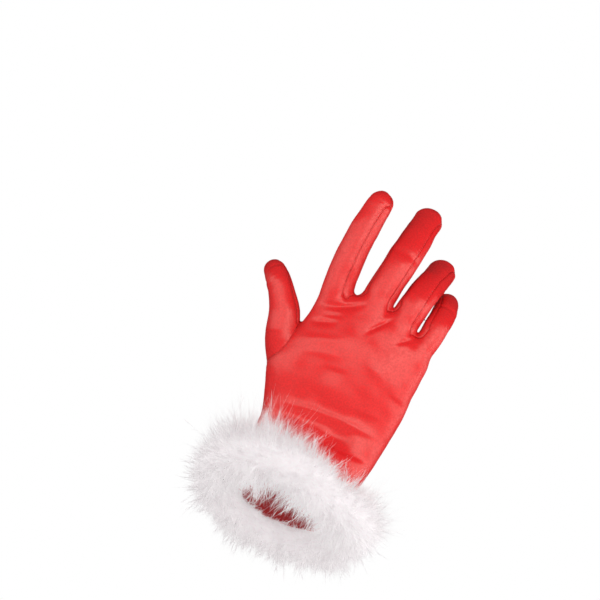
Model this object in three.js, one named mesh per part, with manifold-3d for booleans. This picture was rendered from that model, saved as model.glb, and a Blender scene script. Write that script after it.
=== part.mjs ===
// A right-hand dress glove of thin stretch satin, in the shape it has when worn, with a fluffy
// down trim round its cuff. It is hollow: a back and a palm, which both run on into the four
// fingers and are sewn together up the outer sides and over the fingertips, a thumb piece set in
// between them, and three fourchettes, the strips that make the sides between the fingers.
// Millimetres. The origin is the middle of the cuff's mouth, where the wrist goes in.
// +Z runs up the hand to the fingertips, -Y is the back of the hand, and -X is the thumb side.
import * as THREE from "three";
import { mergeVertices } from "three/addons/utils/BufferGeometryUtils.js";
import Module from "manifold-3d";

const WALL = 1.2;
const SEAM_GAP = 0.3;
const TRIM_GAP = 0.35;
const CUFF_CLEARANCE = 12;

const SATIN_RED = 0xd8262b;
const DOWN_WHITE = 0xf4f1f0;

// The hand from the cuff's mouth to the knuckles. Each row is one cross-section: its middle, its
// half width and half depth, how far its plane leans towards the back of the hand, how far it
// rolls down towards the little finger, and how far its two ends drop below its middle.
const HAND_SECTIONS = [
  { x: 1, y: 0, z: 0, width: 36, depth: 26, lean: 39, roll: 3, bow: 0 },
  { x: 2, y: 5, z: 9, width: 36.3, depth: 25, lean: 37, roll: 3, bow: 0 },
  { x: 4, y: 10.5, z: 19, width: 37.2, depth: 23.8, lean: 32, roll: 3, bow: 0 },
  { x: 6.2, y: 15, z: 31, width: 38.2, depth: 22, lean: 22, roll: 2, bow: 0 },
  { x: 7.8, y: 18, z: 44, width: 39.4, depth: 20, lean: 12, roll: 1, bow: 0 },
  { x: 7.2, y: 19, z: 60, width: 42.9, depth: 18.6, lean: 4, roll: 0, bow: 0 },
  { x: 6.3, y: 19.5, z: 75, width: 45.6, depth: 18.2, lean: 0, roll: 0, bow: 0 },
  { x: 9, y: 19.5, z: 90, width: 43.3, depth: 17.2, lean: 0, roll: 0, bow: 1 },
  { x: 11.3, y: 19.3, z: 105, width: 40.8, depth: 15, lean: 0, roll: 1, bow: 4 },
  { x: 13.8, y: 19, z: 117, width: 39.6, depth: 12.6, lean: 0, roll: 3, bow: 8 },
  { x: 15, y: 18.8, z: 125, width: 38.6, depth: 10.4, lean: 0, roll: 5, bow: 11 },
  { x: 15.4, y: 18.8, z: 129, width: 36.6, depth: 7, lean: 0, roll: 6, bow: 12 },
  { x: 15.4, y: 18.8, z: 130.4, width: 34.6, depth: 3.2, lean: 0, roll: 6, bow: 12 },
];
const HAND_SQUARENESS = 2.4;

// Each finger from inside the knuckles to the middle of its fingertip: a section's middle, its
// half width and its half depth. The fingers curl away from the back of the hand.
const FINGERS = {
  index: [
    { x: -14.6, y: 19.5, z: 106, width: 9.2, depth: 9.2 },
    { x: -16.2, y: 18.5, z: 130, width: 9.7, depth: 9.4 },
    { x: -16.5, y: 17.8, z: 145, width: 9.9, depth: 9.4 },
    { x: -15.6, y: 18, z: 160, width: 9.6, depth: 9.2 },
    { x: -13.8, y: 20, z: 175, width: 9.2, depth: 8.7 },
    { x: -12, y: 22.8, z: 187, width: 8.5, depth: 8 },
    { x: -11.2, y: 24, z: 191.4, width: 8, depth: 7.6 },
  ],
  middle: [
    { x: 7.6, y: 19.5, z: 106, width: 9.4, depth: 9.4 },
    { x: 9, y: 18.5, z: 130, width: 9.9, depth: 9.6 },
    { x: 11.3, y: 17.8, z: 145, width: 10.1, depth: 9.6 },
    { x: 14, y: 18.4, z: 159, width: 10.2, depth: 9.5 },
    { x: 16.4, y: 24.5, z: 172, width: 9.9, depth: 9.1 },
    { x: 18.4, y: 33, z: 184, width: 9.3, depth: 8.6 },
    { x: 20, y: 40, z: 191.6, width: 8.6, depth: 8 },
  ],
  ring: [
    { x: 28, y: 19.5, z: 100, width: 9.2, depth: 9.2 },
    { x: 29.4, y: 18.8, z: 122, width: 9.4, depth: 9.3 },
    { x: 31.2, y: 17.8, z: 134, width: 9.6, depth: 9.3 },
    { x: 33.2, y: 19.4, z: 144, width: 9.7, depth: 9.2 },
    { x: 35.6, y: 27, z: 152.5, width: 9.5, depth: 8.9 },
    { x: 38, y: 38, z: 159.5, width: 9.1, depth: 8.5 },
    { x: 39.6, y: 49, z: 164.8, width: 8.5, depth: 8 },
  ],
  little: [
    { x: 44, y: 19.5, z: 94, width: 7.6, depth: 8.2 },
    { x: 45.9, y: 19.1, z: 113, width: 7.8, depth: 8.3 },
    { x: 48.8, y: 19, z: 125, width: 7.9, depth: 8.2 },
    { x: 50.2, y: 21, z: 134, width: 8.1, depth: 8.1 },
    { x: 51, y: 28, z: 141, width: 7.7, depth: 7.7 },
    { x: 51.1, y: 37, z: 146, width: 7.2, depth: 7.2 },
    { x: 50.7, y: 45.5, z: 148.3, width: 6.6, depth: 6.6 },
  ],
};

// The thumb piece, from the heel of the hand out and away to the thumb's tip.
const THUMB = [
  { x: -16, y: 24, z: 54, width: 8, depth: 8 },
  { x: -27.6, y: 26.6, z: 74, width: 11, depth: 12.6 },
  { x: -37.4, y: 23.4, z: 92, width: 10.4, depth: 11.8 },
  { x: -41.4, y: 21, z: 106, width: 9.9, depth: 10.8 },
  { x: -49, y: 24, z: 119.5, width: 8.8, depth: 9.8 },
  { x: -55, y: 33, z: 125.8, width: 8.5, depth: 9.2 },
  { x: -57, y: 45, z: 127, width: 8.1, depth: 8.8 },
  { x: -55, y: 56, z: 125, width: 7.5, depth: 8.2 },
];

// The folds across the back of the hand: where each is deepest at its middle, how far it runs to
// each side, its slope, how wide it is, and how far it stands out or, below zero, sinks in.
const FOLDS = [
  { name: "wrist ridge", x: 9, z: 57.5, reach: 30, slope: -0.04, width: 3.2, rise: 1.8 },
  { name: "wrist groove", x: 8, z: 52, reach: 31, slope: -0.02, width: 3.4, rise: -2.6 },
  { name: "cuff ridge", x: 14, z: 46, reach: 28, slope: -0.12, width: 3.4, rise: 1.5 },
  { name: "cuff groove", x: 18, z: 40, reach: 26, slope: -0.1, width: 3, rise: -1.8 },
  { name: "heel groove", x: 22, z: 66, reach: 18, slope: 0, width: 4, rise: -1.3 },
  { name: "thumb pull", x: -14, z: 90, reach: 14, slope: 0.36, width: 4, rise: -1.2 },
  { name: "index pull", x: -8, z: 123, reach: 15, slope: 0.25, width: 3.4, rise: -1.2 },
];

// The fourchettes: the two fingers each one lies between, how far its strip turns towards the back
// of the hand on each of them, in degrees, and the height of the web that it crosses.
const FOURCHETTES = [
  { between: ["index", "middle"], turns: [34, -12], web: 129.5 },
  { between: ["middle", "ring"], turns: [15, -12], web: 129 },
  { between: ["ring", "little"], turns: [24, 16], web: 121 },
];
const STRIP_HALF_WIDTH = 5.2;
const STRIP_TIP_HALF_WIDTH = 0.9;
const STRIP_START = 3;
const STRIP_TIP_REACH = 2;
const WEB_BRIDGE_HEIGHT = 14;

// The seam between back and palm: which side of a finger it runs up, 1 towards the little finger
// and -1 towards the thumb, and how far it turns towards the back of the hand. Between fingers it
// shows only over the tip, past the end of a fourchette.
const SIDE_SEAMS = [
  { finger: "index", side: -1, turn: 0 },
  { finger: "index", side: 1, turn: 34 },
  { finger: "middle", side: -1, turn: -12 },
  { finger: "middle", side: 1, turn: 15 },
  { finger: "ring", side: -1, turn: -12 },
  { finger: "ring", side: 1, turn: 24 },
  { finger: "little", side: -1, turn: 16 },
  { finger: "little", side: 1, turn: 0 },
];
const CUT_OVERREACH = 0.6;

// The down trim: the middle of its ring, the ring's half width and half depth, and its lean and
// roll like the hand's. Its locks are longer towards the arm, by the share LOCK_DROOP, and lean a
// little to either side. There are none where the cosine of their angle is below LOCKS_FROM,
// which is the side that lies on the glove.
const TRIM = { x: 3, y: -1.5, z: -1, width: 44.5, depth: 34.5, lean: 39, roll: 3 };
const TRIM_BACKING_RADIUS = 8;
const LOCK_TIP_RADIUS = 21;
const LOCK_TIP_VARIETY = 3;
const LOCK_DROOP = 0.1;
const LOCK_LEAN = 0.32;
const LOCKS_FROM = -0.5;

// How finely each surface is cut into facets. The hand has a ring at each of these shares of its
// length, in hundredths, closest together where the folds are.
const HAND_AROUND = 24;
const FOLD_SHARES = [29, 32, 34, 36, 38, 40, 42, 44, 46, 49, 53];
const HAND_OUTSIDE = [0, 12, 24, ...FOLD_SHARES, 60, 67, 74, 81, 88, 94, 100];
const HAND_INSIDE = [0, 12, 24, ...FOLD_SHARES, 67, 81, 94, 100];
const DIGIT_OUTSIDE = { around: 12, along: 8, tips: [30, 58, 80] };
const DIGIT_INSIDE = { around: 8, along: 7, tips: [35, 72] };
const BAR_STEPS = 6;
const TRIM_AROUND = 14;
const TRIM_ALONG = 64;

const wasm = await Module();
wasm.setup();

const radians = THREE.MathUtils.degToRad;

// A closed three.js geometry as a solid that can be joined and cut.
function solidOf(geometry) {
  const bare = geometry.index ? geometry.toNonIndexed() : geometry.clone();
  bare.deleteAttribute("normal");
  bare.deleteAttribute("uv");
  const merged = mergeVertices(bare, 1e-4);
  return new wasm.Manifold(
    new wasm.Mesh({
      numProp: 3,
      vertProperties: merged.attributes.position.array,
      triVerts: new Uint32Array(merged.index.array),
    }),
  );
}

// A solid as a three.js geometry. Where a cut left loose crumbs, only the main body is kept.
function geometryOf(solid) {
  const bodies = solid.decompose();
  const main = bodies.reduce((best, body) => (body.volume() > best.volume() ? body : best));
  const mesh = main.getMesh();
  const geometry = new THREE.BufferGeometry();
  geometry.setAttribute("position", new THREE.BufferAttribute(new Float32Array(mesh.vertProperties), 3));
  geometry.setIndex(new THREE.BufferAttribute(new Uint32Array(mesh.triVerts), 1));
  geometry.computeVertexNormals();
  return geometry;
}

// A closed skin through rings of points that all have the same count: quads between the rings,
// and a fan over each end.
function skin(rings) {
  const count = rings[0].length;
  const points = rings.flat();
  const middles = [rings[0], rings.at(-1)].map((ring) =>
    ring.reduce((sum, p) => sum.add(p), new THREE.Vector3()).divideScalar(count),
  );
  const faces = [];
  for (let row = 0; row < rings.length - 1; row++) {
    for (let i = 0; i < count; i++) {
      const a = row * count + i;
      const b = row * count + ((i + 1) % count);
      faces.push(a, b, b + count, a, b + count, a + count);
    }
  }
  const first = points.length;
  const last = first + 1;
  const lastRow = (rings.length - 1) * count;
  for (let i = 0; i < count; i++) {
    const next = (i + 1) % count;
    faces.push(first, next, i, last, lastRow + i, lastRow + next);
  }
  const geometry = new THREE.BufferGeometry();
  const positions = [...points, ...middles].flatMap((p) => p.toArray());
  geometry.setAttribute("position", new THREE.BufferAttribute(new Float32Array(positions), 3));
  geometry.setIndex(faces);
  return solidOf(geometry);
}

// A smooth course through one named column of a table, by Catmull and Rom's cubic.
function column(rows, key, share) {
  const at = share * (rows.length - 1);
  const i = Math.min(Math.floor(at), rows.length - 2);
  const t = at - i;
  const p1 = rows[i][key];
  const p2 = rows[i + 1][key];
  const p0 = i > 0 ? rows[i - 1][key] : 2 * p1 - p2;
  const p3 = i + 2 < rows.length ? rows[i + 2][key] : 2 * p2 - p1;
  const cubic = -p0 + 3 * p1 - 3 * p2 + p3;
  const square = 2 * p0 - 5 * p1 + 4 * p2 - p3;
  return 0.5 * (2 * p1 + (p2 - p0) * t + square * t * t + cubic * t * t * t);
}

function middleOf(rows, share) {
  return new THREE.Vector3(column(rows, "x", share), column(rows, "y", share), column(rows, "z", share));
}

// The directions across a section of the hand and out of its back, from its lean and roll in
// degrees.
function sectionFrame(lean, roll) {
  return {
    across: new THREE.Vector3(Math.cos(radians(roll)), 0, -Math.sin(radians(roll))),
    back: new THREE.Vector3(0, -Math.cos(radians(lean)), Math.sin(radians(lean))),
  };
}

// Where the folds move the cloth, at a point of the back of the hand.
function foldHeight(x, z) {
  let height = 0;
  for (const fold of FOLDS) {
    const along = (x - fold.x) / fold.reach;
    if (Math.abs(along) >= 1) continue;
    const across = (z - fold.z - fold.slope * (x - fold.x)) / fold.width;
    const fade = (1 - along * along) ** 2;
    height += fold.rise * fade * Math.exp(-across * across);
  }
  return height;
}

// The hand's own body from the cuff to the knuckles, smaller by inset all round. A smaller one
// also runs on past the cuff, so that what is cut with it is open there.
function handBody(inset, shares) {
  const rings = [];
  for (const percent of shares) {
    const share = percent / 100;
    const middle = middleOf(HAND_SECTIONS, share);
    const lean = column(HAND_SECTIONS, "lean", share);
    const roll = column(HAND_SECTIONS, "roll", share);
    const { across, back } = sectionFrame(lean, roll);
    const bow = column(HAND_SECTIONS, "bow", share);
    const width = column(HAND_SECTIONS, "width", share) - inset;
    const depth = Math.max(column(HAND_SECTIONS, "depth", share) - inset, 1);
    const ring = [];
    for (let i = 0; i < HAND_AROUND; i++) {
      const angle = (i / HAND_AROUND) * 2 * Math.PI;
      const side = Math.sign(Math.cos(angle)) * Math.abs(Math.cos(angle)) ** (2 / HAND_SQUARENESS);
      const face = Math.sign(Math.sin(angle)) * Math.abs(Math.sin(angle)) ** (2 / HAND_SQUARENESS);
      const p = middle.clone().addScaledVector(across, side * width);
      p.addScaledVector(back, -face * depth);
      p.z -= bow * side * side;
      if (face < 0) p.addScaledVector(back, foldHeight(p.x, p.z) * -face);
      ring.push(p);
    }
    rings.push(ring);
  }
  if (inset > 0) {
    rings.unshift(rings[0].map((p) => p.clone().addScaledVector(cuffAxis(), CUFF_CLEARANCE)));
    for (const p of rings.at(-1)) p.z -= inset;
  }
  return skin(rings);
}

// The way out of the cuff's mouth, along the arm.
function cuffAxis() {
  const lean = radians(HAND_SECTIONS[0].lean);
  return new THREE.Vector3(0, -Math.sin(lean), -Math.cos(lean));
}

// The directions of a finger at one place: along it, across it to the little finger's side, and
// out of its back.
function fingerFrame(rows, share) {
  const step = 0.02;
  const ahead = middleOf(rows, Math.min(share + step, 1));
  const behind = middleOf(rows, Math.max(share - step, 0));
  const along = ahead.sub(behind).normalize();
  const across = new THREE.Vector3(1, 0, 0).addScaledVector(along, -along.x).normalize();
  return { along, across, back: new THREE.Vector3().crossVectors(across, along) };
}

// A finger or thumb: oval sections along its middle line, closed by a round tip.
function digit(rows, inset, { around, along: count, tips }) {
  const sections = [];
  for (let row = 0; row < count; row++) sections.push({ share: row / (count - 1), tip: 0 });
  for (const tip of tips) sections.push({ share: 1, tip: radians(tip) });
  const rings = sections.map(({ share, tip }) => {
    const { along, across, back } = fingerFrame(rows, share);
    const width = column(rows, "width", share) - inset;
    const depth = column(rows, "depth", share) - inset;
    const middle = middleOf(rows, share).addScaledVector(along, width * Math.sin(tip));
    const ring = [];
    for (let i = 0; i < around; i++) {
      const angle = (i / around) * 2 * Math.PI;
      const p = middle.clone().addScaledVector(across, width * Math.cos(tip) * Math.cos(angle));
      ring.push(p.addScaledVector(back, -depth * Math.cos(tip) * Math.sin(angle)));
    }
    return ring;
  });
  return skin(rings);
}

// A bar with a rectangular section along one side of a finger, from one share of its length to
// past its tip. It reaches out through the cloth, and halfAt gives its half thickness at each
// share of the bar.
function sideBar(rows, { side, turn, from, tipReach, grow, halfAt }) {
  const rings = [];
  for (let i = 0; i <= BAR_STEPS; i++) {
    const share = from + ((1 - from) * i) / BAR_STEPS;
    const { along, across, back } = fingerFrame(rows, share);
    const angle = radians(turn);
    const out = across.clone().multiplyScalar(side * Math.cos(angle));
    out.addScaledVector(back, Math.sin(angle));
    const up = new THREE.Vector3().crossVectors(along, out).normalize();
    const width = column(rows, "width", share);
    const depth = column(rows, "depth", share);
    const radius = 1 / Math.hypot(Math.cos(angle) / width, Math.sin(angle) / depth);
    const reach = radius + CUT_OVERREACH + grow;
    const half = halfAt(i / BAR_STEPS) + grow;
    const middle = middleOf(rows, share).addScaledVector(along, i === BAR_STEPS ? tipReach + grow : 0);
    const corner = (a, b) => middle.clone().addScaledVector(out, a).addScaledVector(up, b);
    rings.push([corner(0, -half), corner(reach, -half), corner(reach, half), corner(0, half)]);
  }
  return skin(rings);
}

// The bar that holds the strip of cloth which belongs to a fourchette on one of its fingers.
function stripBar(rows, side, turn, web, grow) {
  const start = rows.findIndex((row) => row.z > web) - 1;
  const upTheRow = (web - STRIP_START - grow - rows[start].z) / (rows[start + 1].z - rows[start].z);
  const from = (start + upTheRow) / (rows.length - 1);
  const fade = (share) => Math.sqrt(Math.max(0, 1 - share ** 3));
  const halfAt = (share) =>
    STRIP_TIP_HALF_WIDTH + (STRIP_HALF_WIDTH - STRIP_TIP_HALF_WIDTH) * fade(share);
  return sideBar(rows, { side, turn, from, tipReach: STRIP_TIP_REACH, grow, halfAt });
}

// The thin space of the seam between back and palm: a sheet through the hand from side to side,
// and one up each side of each finger and over its tip.
function sideSeams() {
  const half = SEAM_GAP / 2;
  const sheets = SIDE_SEAMS.map(({ finger, side, turn }) => {
    const rows = FINGERS[finger];
    const tipReach = rows.at(-1).width + CUT_OVERREACH;
    return sideBar(rows, { side, turn, from: 0, tipReach, grow: 0, halfAt: () => half });
  });
  const rings = HAND_SECTIONS.map(({ x, y, z, width, lean, roll }) => {
    const middle = new THREE.Vector3(x, y, z);
    const { across, back } = sectionFrame(lean, roll);
    const reach = width + CUT_OVERREACH;
    const corner = (a, b) => middle.clone().addScaledVector(across, a).addScaledVector(back, b);
    return [corner(-reach, half), corner(reach, half), corner(reach, -half), corner(-reach, -half)];
  });
  rings.unshift(rings[0].map((p) => p.clone().add(cuffAxis())));
  rings.push(rings.at(-1).map((p) => p.clone().setZ(p.z + 1)));
  return skin(rings).add(wasm.Manifold.union(sheets));
}

// The space that a fourchette takes out of the shell: a bar up each of its two fingers, and a
// bridge across the web between them.
function fourchetteSpace({ between, turns, web }, grow) {
  const [left, right] = between.map((finger) => FINGERS[finger]);
  const leftBar = stripBar(left, 1, turns[0], web, grow);
  const rightBar = stripBar(right, -1, turns[1], web, grow);
  const length = right[1].x - left[1].x + 2 * grow;
  const thickness = 2 * (STRIP_HALF_WIDTH + grow);
  const bridge = new THREE.BoxGeometry(length, thickness, WEB_BRIDGE_HEIGHT + 2 * grow);
  bridge.translate((left[1].x + right[1].x) / 2, left[1].y, web);
  return leftBar.add(rightBar).add(solidOf(bridge));
}

// The down trim: a soft backing round the cuff's mouth, drawn out all over into pointed locks.
// Every second point of its skin is the tip of a lock, except where it lies on the glove.
function trimBody() {
  const { across, back } = sectionFrame(TRIM.lean, TRIM.roll);
  const up = new THREE.Vector3().crossVectors(across, back).negate().normalize();
  const positions = [];
  for (let i = 0; i < TRIM_ALONG; i++) {
    const turn = (i / TRIM_ALONG) * 2 * Math.PI;
    const middle = new THREE.Vector3(TRIM.x, TRIM.y, TRIM.z);
    middle.addScaledVector(across, TRIM.width * Math.cos(turn));
    middle.addScaledVector(back, TRIM.depth * Math.sin(turn));
    const out = across.clone().multiplyScalar(Math.cos(turn) / TRIM.width);
    out.addScaledVector(back, Math.sin(turn) / TRIM.depth).normalize();
    const ahead = new THREE.Vector3().crossVectors(up, out);
    for (let j = 0; j < TRIM_AROUND; j++) {
      const angle = (j / TRIM_AROUND) * 2 * Math.PI;
      const way = out.clone().multiplyScalar(Math.cos(angle)).addScaledVector(up, Math.sin(angle));
      let radius = TRIM_BACKING_RADIUS;
      if ((i + j) % 2 === 0 && Math.cos(angle) > LOCKS_FROM) {
        const variety = Math.sin(i * 2.7 + j * 1.9) * Math.cos(i * 0.9 - j * 2.3);
        radius = LOCK_TIP_RADIUS * (1 - LOCK_DROOP * Math.sin(angle));
        radius += LOCK_TIP_VARIETY * variety;
        way.addScaledVector(ahead, LOCK_LEAN * Math.sin(i * 1.7 + j * 3.1));
        way.addScaledVector(up, 0.5 * LOCK_LEAN * Math.cos(i * 3.3 + j)).normalize();
      }
      positions.push(...middle.clone().addScaledVector(way, radius).toArray());
    }
  }
  const faces = [];
  for (let i = 0; i < TRIM_ALONG; i++) {
    for (let j = 0; j < TRIM_AROUND; j++) {
      const next = (i + 1) % TRIM_ALONG;
      const over = (j + 1) % TRIM_AROUND;
      const [a, b] = [i * TRIM_AROUND + j, i * TRIM_AROUND + over];
      const [c, d] = [next * TRIM_AROUND + over, next * TRIM_AROUND + j];
      if ((i + j) % 2 === 0) faces.push(a, b, d, b, c, d);
      else faces.push(a, b, c, a, c, d);
    }
  }
  const geometry = new THREE.BufferGeometry();
  geometry.setAttribute("position", new THREE.BufferAttribute(new Float32Array(positions), 3));
  geometry.setIndex(faces);
  return solidOf(geometry);
}

const outsides = Object.values(FINGERS).map((rows) => digit(rows, 0, DIGIT_OUTSIDE));
const insides = Object.values(FINGERS).map((rows) => digit(rows, WALL, DIGIT_INSIDE));
const handOutside = wasm.Manifold.union([handBody(0, HAND_OUTSIDE), ...outsides]);
const handInside = wasm.Manifold.union([handBody(WALL, HAND_INSIDE), ...insides]);

let handShell = handOutside.subtract(handInside);
const fourchettes = FOURCHETTES.map((fourchette) => ({
  name: `fourchette_${fourchette.between.join("_")}`,
  solid: handShell.intersect(fourchetteSpace(fourchette, 0)),
}));
for (const fourchette of FOURCHETTES) {
  handShell = handShell.subtract(fourchetteSpace(fourchette, SEAM_GAP));
}
handShell = handShell.subtract(digit(THUMB, -SEAM_GAP, DIGIT_OUTSIDE)).subtract(sideSeams());
const [backShell, palmShell] = handShell
  .decompose()
  .sort((a, b) => b.volume() - a.volume())
  .slice(0, 2)
  .sort((a, b) => a.boundingBox().min[1] - b.boundingBox().min[1]);

const thumbOutside = digit(THUMB, 0, DIGIT_OUTSIDE);
const thumbShell = thumbOutside.subtract(digit(THUMB, WALL, DIGIT_INSIDE)).subtract(handOutside);
const trim = trimBody().subtract(handBody(-TRIM_GAP, HAND_INSIDE)).subtract(handInside);

const satin = new THREE.MeshStandardMaterial({ color: SATIN_RED, roughness: 0.38, metalness: 0.1 });
const down = new THREE.MeshStandardMaterial({ color: DOWN_WHITE, roughness: 0.9, metalness: 0 });

const glove = new THREE.Group();
function addPiece(name, solid, material) {
  const mesh = new THREE.Mesh(geometryOf(solid), material);
  mesh.name = name;
  glove.add(mesh);
}
addPiece("back_shell", backShell, satin);
addPiece("palm_shell", palmShell, satin);
addPiece("thumb_shell", thumbShell, satin);
for (const { name, solid } of fourchettes) addPiece(name, solid, satin);
addPiece("down_trim", trim, down);

export default glove;
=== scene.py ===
"""A satin dress glove with a down trim round its cuff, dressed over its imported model."""

import functools
import math

import bpy
import numpy as np
from bpy.props import FloatProperty, FloatVectorProperty, PointerProperty
from mathutils import Matrix, Vector


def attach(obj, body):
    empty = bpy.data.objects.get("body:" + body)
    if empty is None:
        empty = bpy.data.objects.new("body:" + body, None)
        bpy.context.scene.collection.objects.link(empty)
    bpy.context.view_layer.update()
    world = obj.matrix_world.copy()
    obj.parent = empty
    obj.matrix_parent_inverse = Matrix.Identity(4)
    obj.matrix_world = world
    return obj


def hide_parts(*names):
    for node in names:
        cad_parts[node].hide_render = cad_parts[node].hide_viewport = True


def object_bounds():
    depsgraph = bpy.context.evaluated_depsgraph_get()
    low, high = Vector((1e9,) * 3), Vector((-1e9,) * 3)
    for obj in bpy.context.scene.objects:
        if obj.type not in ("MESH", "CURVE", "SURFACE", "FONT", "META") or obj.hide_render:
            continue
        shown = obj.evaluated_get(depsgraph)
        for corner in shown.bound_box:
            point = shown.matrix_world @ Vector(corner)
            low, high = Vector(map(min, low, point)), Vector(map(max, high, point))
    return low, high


bl_info = {
    "name": "Satin Glove",
    "version": (1, 0, 0),
    "blender": (4, 5, 0),
    "location": "View3D > Sidebar > Glove",
    "description": "Makes a satin dress glove with a down trim, piece by piece",
    "category": "Object",
}

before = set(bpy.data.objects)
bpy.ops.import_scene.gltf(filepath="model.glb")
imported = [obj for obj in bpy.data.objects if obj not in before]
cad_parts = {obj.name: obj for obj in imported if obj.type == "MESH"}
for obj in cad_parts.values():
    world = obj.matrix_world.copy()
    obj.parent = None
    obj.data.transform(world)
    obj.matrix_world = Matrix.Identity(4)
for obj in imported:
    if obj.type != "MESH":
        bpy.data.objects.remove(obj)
CAD_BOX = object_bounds()
MM = 0.001

# A distance that counts as far away from a seam, and the value of the glove's surface away from
# the boxes that its parts are worked out in.
FAR = 99.0
OUT_OF_BOX = 40.0

# The glove's hand, from the cuff's mouth to the knuckles, in millimetres and degrees. Each row is
# one cross-section: its middle, its half width and half depth, how far its plane leans towards the
# back of the hand, how far it rolls towards the little finger, and how far its ends drop. Then the
# power of the sections' curve, the number of stations from the first to the last, and the columns
# that follow the middle.
HAND_SECTIONS = [
    # x, y, z, width, depth, lean, roll, bow
    (1, 0, 0, 36, 26, 39, 3, 0),
    (2, 5, 9, 36.3, 25, 37, 3, 0),
    (4, 10.5, 19, 37.2, 23.8, 32, 3, 0),
    (6.2, 15, 31, 38.2, 22, 22, 2, 0),
    (7.8, 18, 44, 39.4, 20, 12, 1, 0),
    (7.2, 19.4, 60, 42.9, 18.2, 4, 0, 0),
    (6.3, 19.3, 75, 45.6, 18.4, 0, 0, 0),
    (9, 18.7, 90, 43.3, 17.9, 0, 0, 1),
    (11.3, 18.4, 105, 40.8, 15.8, 0, 1, 4),
    (13.8, 18.5, 117, 39.6, 13.1, 0, 3, 8),
    (15, 18.8, 128, 38, 11, 0, 5, 11),
    (15.4, 18.8, 142, 34, 10, 0, 6, 12),
]
HAND_SQUARENESS = 2.4
HAND_STATIONS = 48
WIDTH, DEPTH, LEAN, ROLL, BOW = range(3, 8)

# The top of the glove's hand between the fingers: the height of its crown, where that is, how fast
# it falls away to both sides, and how widely its edge is rounded.
WEB_CROWN_HEIGHT = 133.2
WEB_CROWN_X = 6.0
WEB_FALL = 0.0095
WEB_ROUNDING = 11.0

# Each finger from inside the knuckles to the middle of its fingertip, and the thumb from the
# heel of the hand: a section's middle, its half width and its half depth.
DIGITS = {
    "index": [
        # x, y, z, width, depth
        (-14.6, 19.5, 106, 9.2, 9.2),
        (-16.2, 18.5, 130, 9.7, 9.4),
        (-16.5, 18.2, 145, 9.9, 9.4),
        (-15.6, 18.8, 160, 9.6, 9.2),
        (-13.8, 19.8, 175, 9.2, 8.7),
        (-12, 21.4, 187, 8.5, 8),
        (-11.2, 22.2, 191.4, 8, 7.6),
    ],
    "middle": [
        (7.6, 19.5, 106, 9.4, 9.4),
        (9, 18, 130, 9.9, 9.6),
        (11.3, 18.8, 145, 10.1, 9.6),
        (13.9, 20.1, 157.8, 10.2, 9.5),
        (16.7, 25.6, 172.2, 10, 9.1),
        (18.9, 33, 184.3, 9.6, 8.7),
        (20.7, 40, 192, 9.1, 8.2),
    ],
    "ring": [
        (28, 19.5, 100, 9.2, 9.2),
        (29.4, 18.8, 122, 9.4, 9.3),
        (31.2, 18.2, 134, 9.6, 9.3),
        (33.4, 19.8, 144, 9.7, 9.2),
        (36, 27, 152.8, 9.6, 8.9),
        (38.8, 38, 160.1, 9.3, 8.5),
        (40.6, 49, 165.6, 8.8, 8),
    ],
    "little": [
        (44, 19.5, 94, 7.6, 8.2),
        (45.9, 18.7, 113, 7.8, 8.3),
        (48.8, 19.7, 125, 7.9, 8.2),
        (50.2, 21.6, 134, 8.1, 8.1),
        (51.4, 28, 141.2, 7.8, 7.7),
        (51.7, 37, 146.3, 7.4, 7.2),
        (51.5, 45.5, 148.8, 6.8, 6.6),
    ],
    "thumb": [
        (-16, 24, 54, 8, 8),
        (-27.6, 25.8, 74, 11, 12.8),
        (-37.4, 22.4, 92, 10.4, 11.8),
        (-41.4, 22.9, 106, 9.9, 10.7),
        (-47.6, 24, 117, 8.6, 9.6),
        (-52, 25.9, 122.8, 7.9, 9.1),
        (-55.6, 31, 126.8, 7.1, 8.0),
        (-57.4, 40, 128.2, 6.4, 6.6),
        (-57.0, 56, 127.0, 5.9, 6.2),
    ],
}
FINGERS = ("index", "middle", "ring", "little")

# The stations on a digit's middle line, over how many millimetres the fingers blend with one
# another, with the hand, and the thumb with both, and how near the surface counts as a digit's skin.
DIGIT_STATIONS = 30
FINGER_BLEND = 1.6
KNUCKLE_BLEND = 6.0
THUMB_BLEND = 4.0
SKIN = 1.5

# Where the glove's surface is looked for: the low corner and the size of its box, two corners of
# the hand's, and how far a digit's box goes past its middle line. Then the step that slopes are
# measured over, the turns in which the net settles, and how strongly it evens out.
GLOVE_CORNER = (-72.0, -34.0, -26.0)
GLOVE_SIZE = (136.0, 104.0, 232.0)
HAND_BOX = ((-48, -34, -26), (64, 48, 142))
DIGIT_MARGIN = 18
GRADIENT_STEP = 0.08
SETTLING_TURNS = 4
EVENNESS = 0.6

# The fourchettes: the two fingers each one lies between, how far its strip turns towards the back
# of the hand on each of them, and the height of the web that it crosses.
FOURCHETTES = [
    # left finger, right finger, left turn, right turn, web
    ("index", "middle", 34, -12, 129.5),
    ("middle", "ring", 15, -12, 129),
    ("ring", "little", 24, 16, 121.5),
]

# A strip's half width, also at the fingertip, how far below the web it starts and how round its
# foot is, the share of the digit's length where it ends, and its value on the digit's skin with how
# fast that falls off away from it. The lengths turn shares of a digit into millimetres. Then the
# half height of the bridge over the web, its rounding, the blends of the two sides and of the
# bridge, and the gap between two pieces.
STRIP_HALF_WIDTH = 5.2
STRIP_TIP_HALF_WIDTH = 0.6
STRIP_START = 2.0
STRIP_FOOT_ROUNDING = 4.0
STRIP_END_SHARE = 1.06
STRIP_LAYER = 3.2
STRIP_LAYER_FALL = 1.6
FINGER_LENGTH = 110
FINGERTIP_LENGTH = 60
WEB_BRIDGE = 9.0
WEB_BRIDGE_ROUNDING = 3.0
STRIP_BLEND = 1.5
BRIDGE_BLEND = 2.5
SEAM_GAP = 0.05

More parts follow.
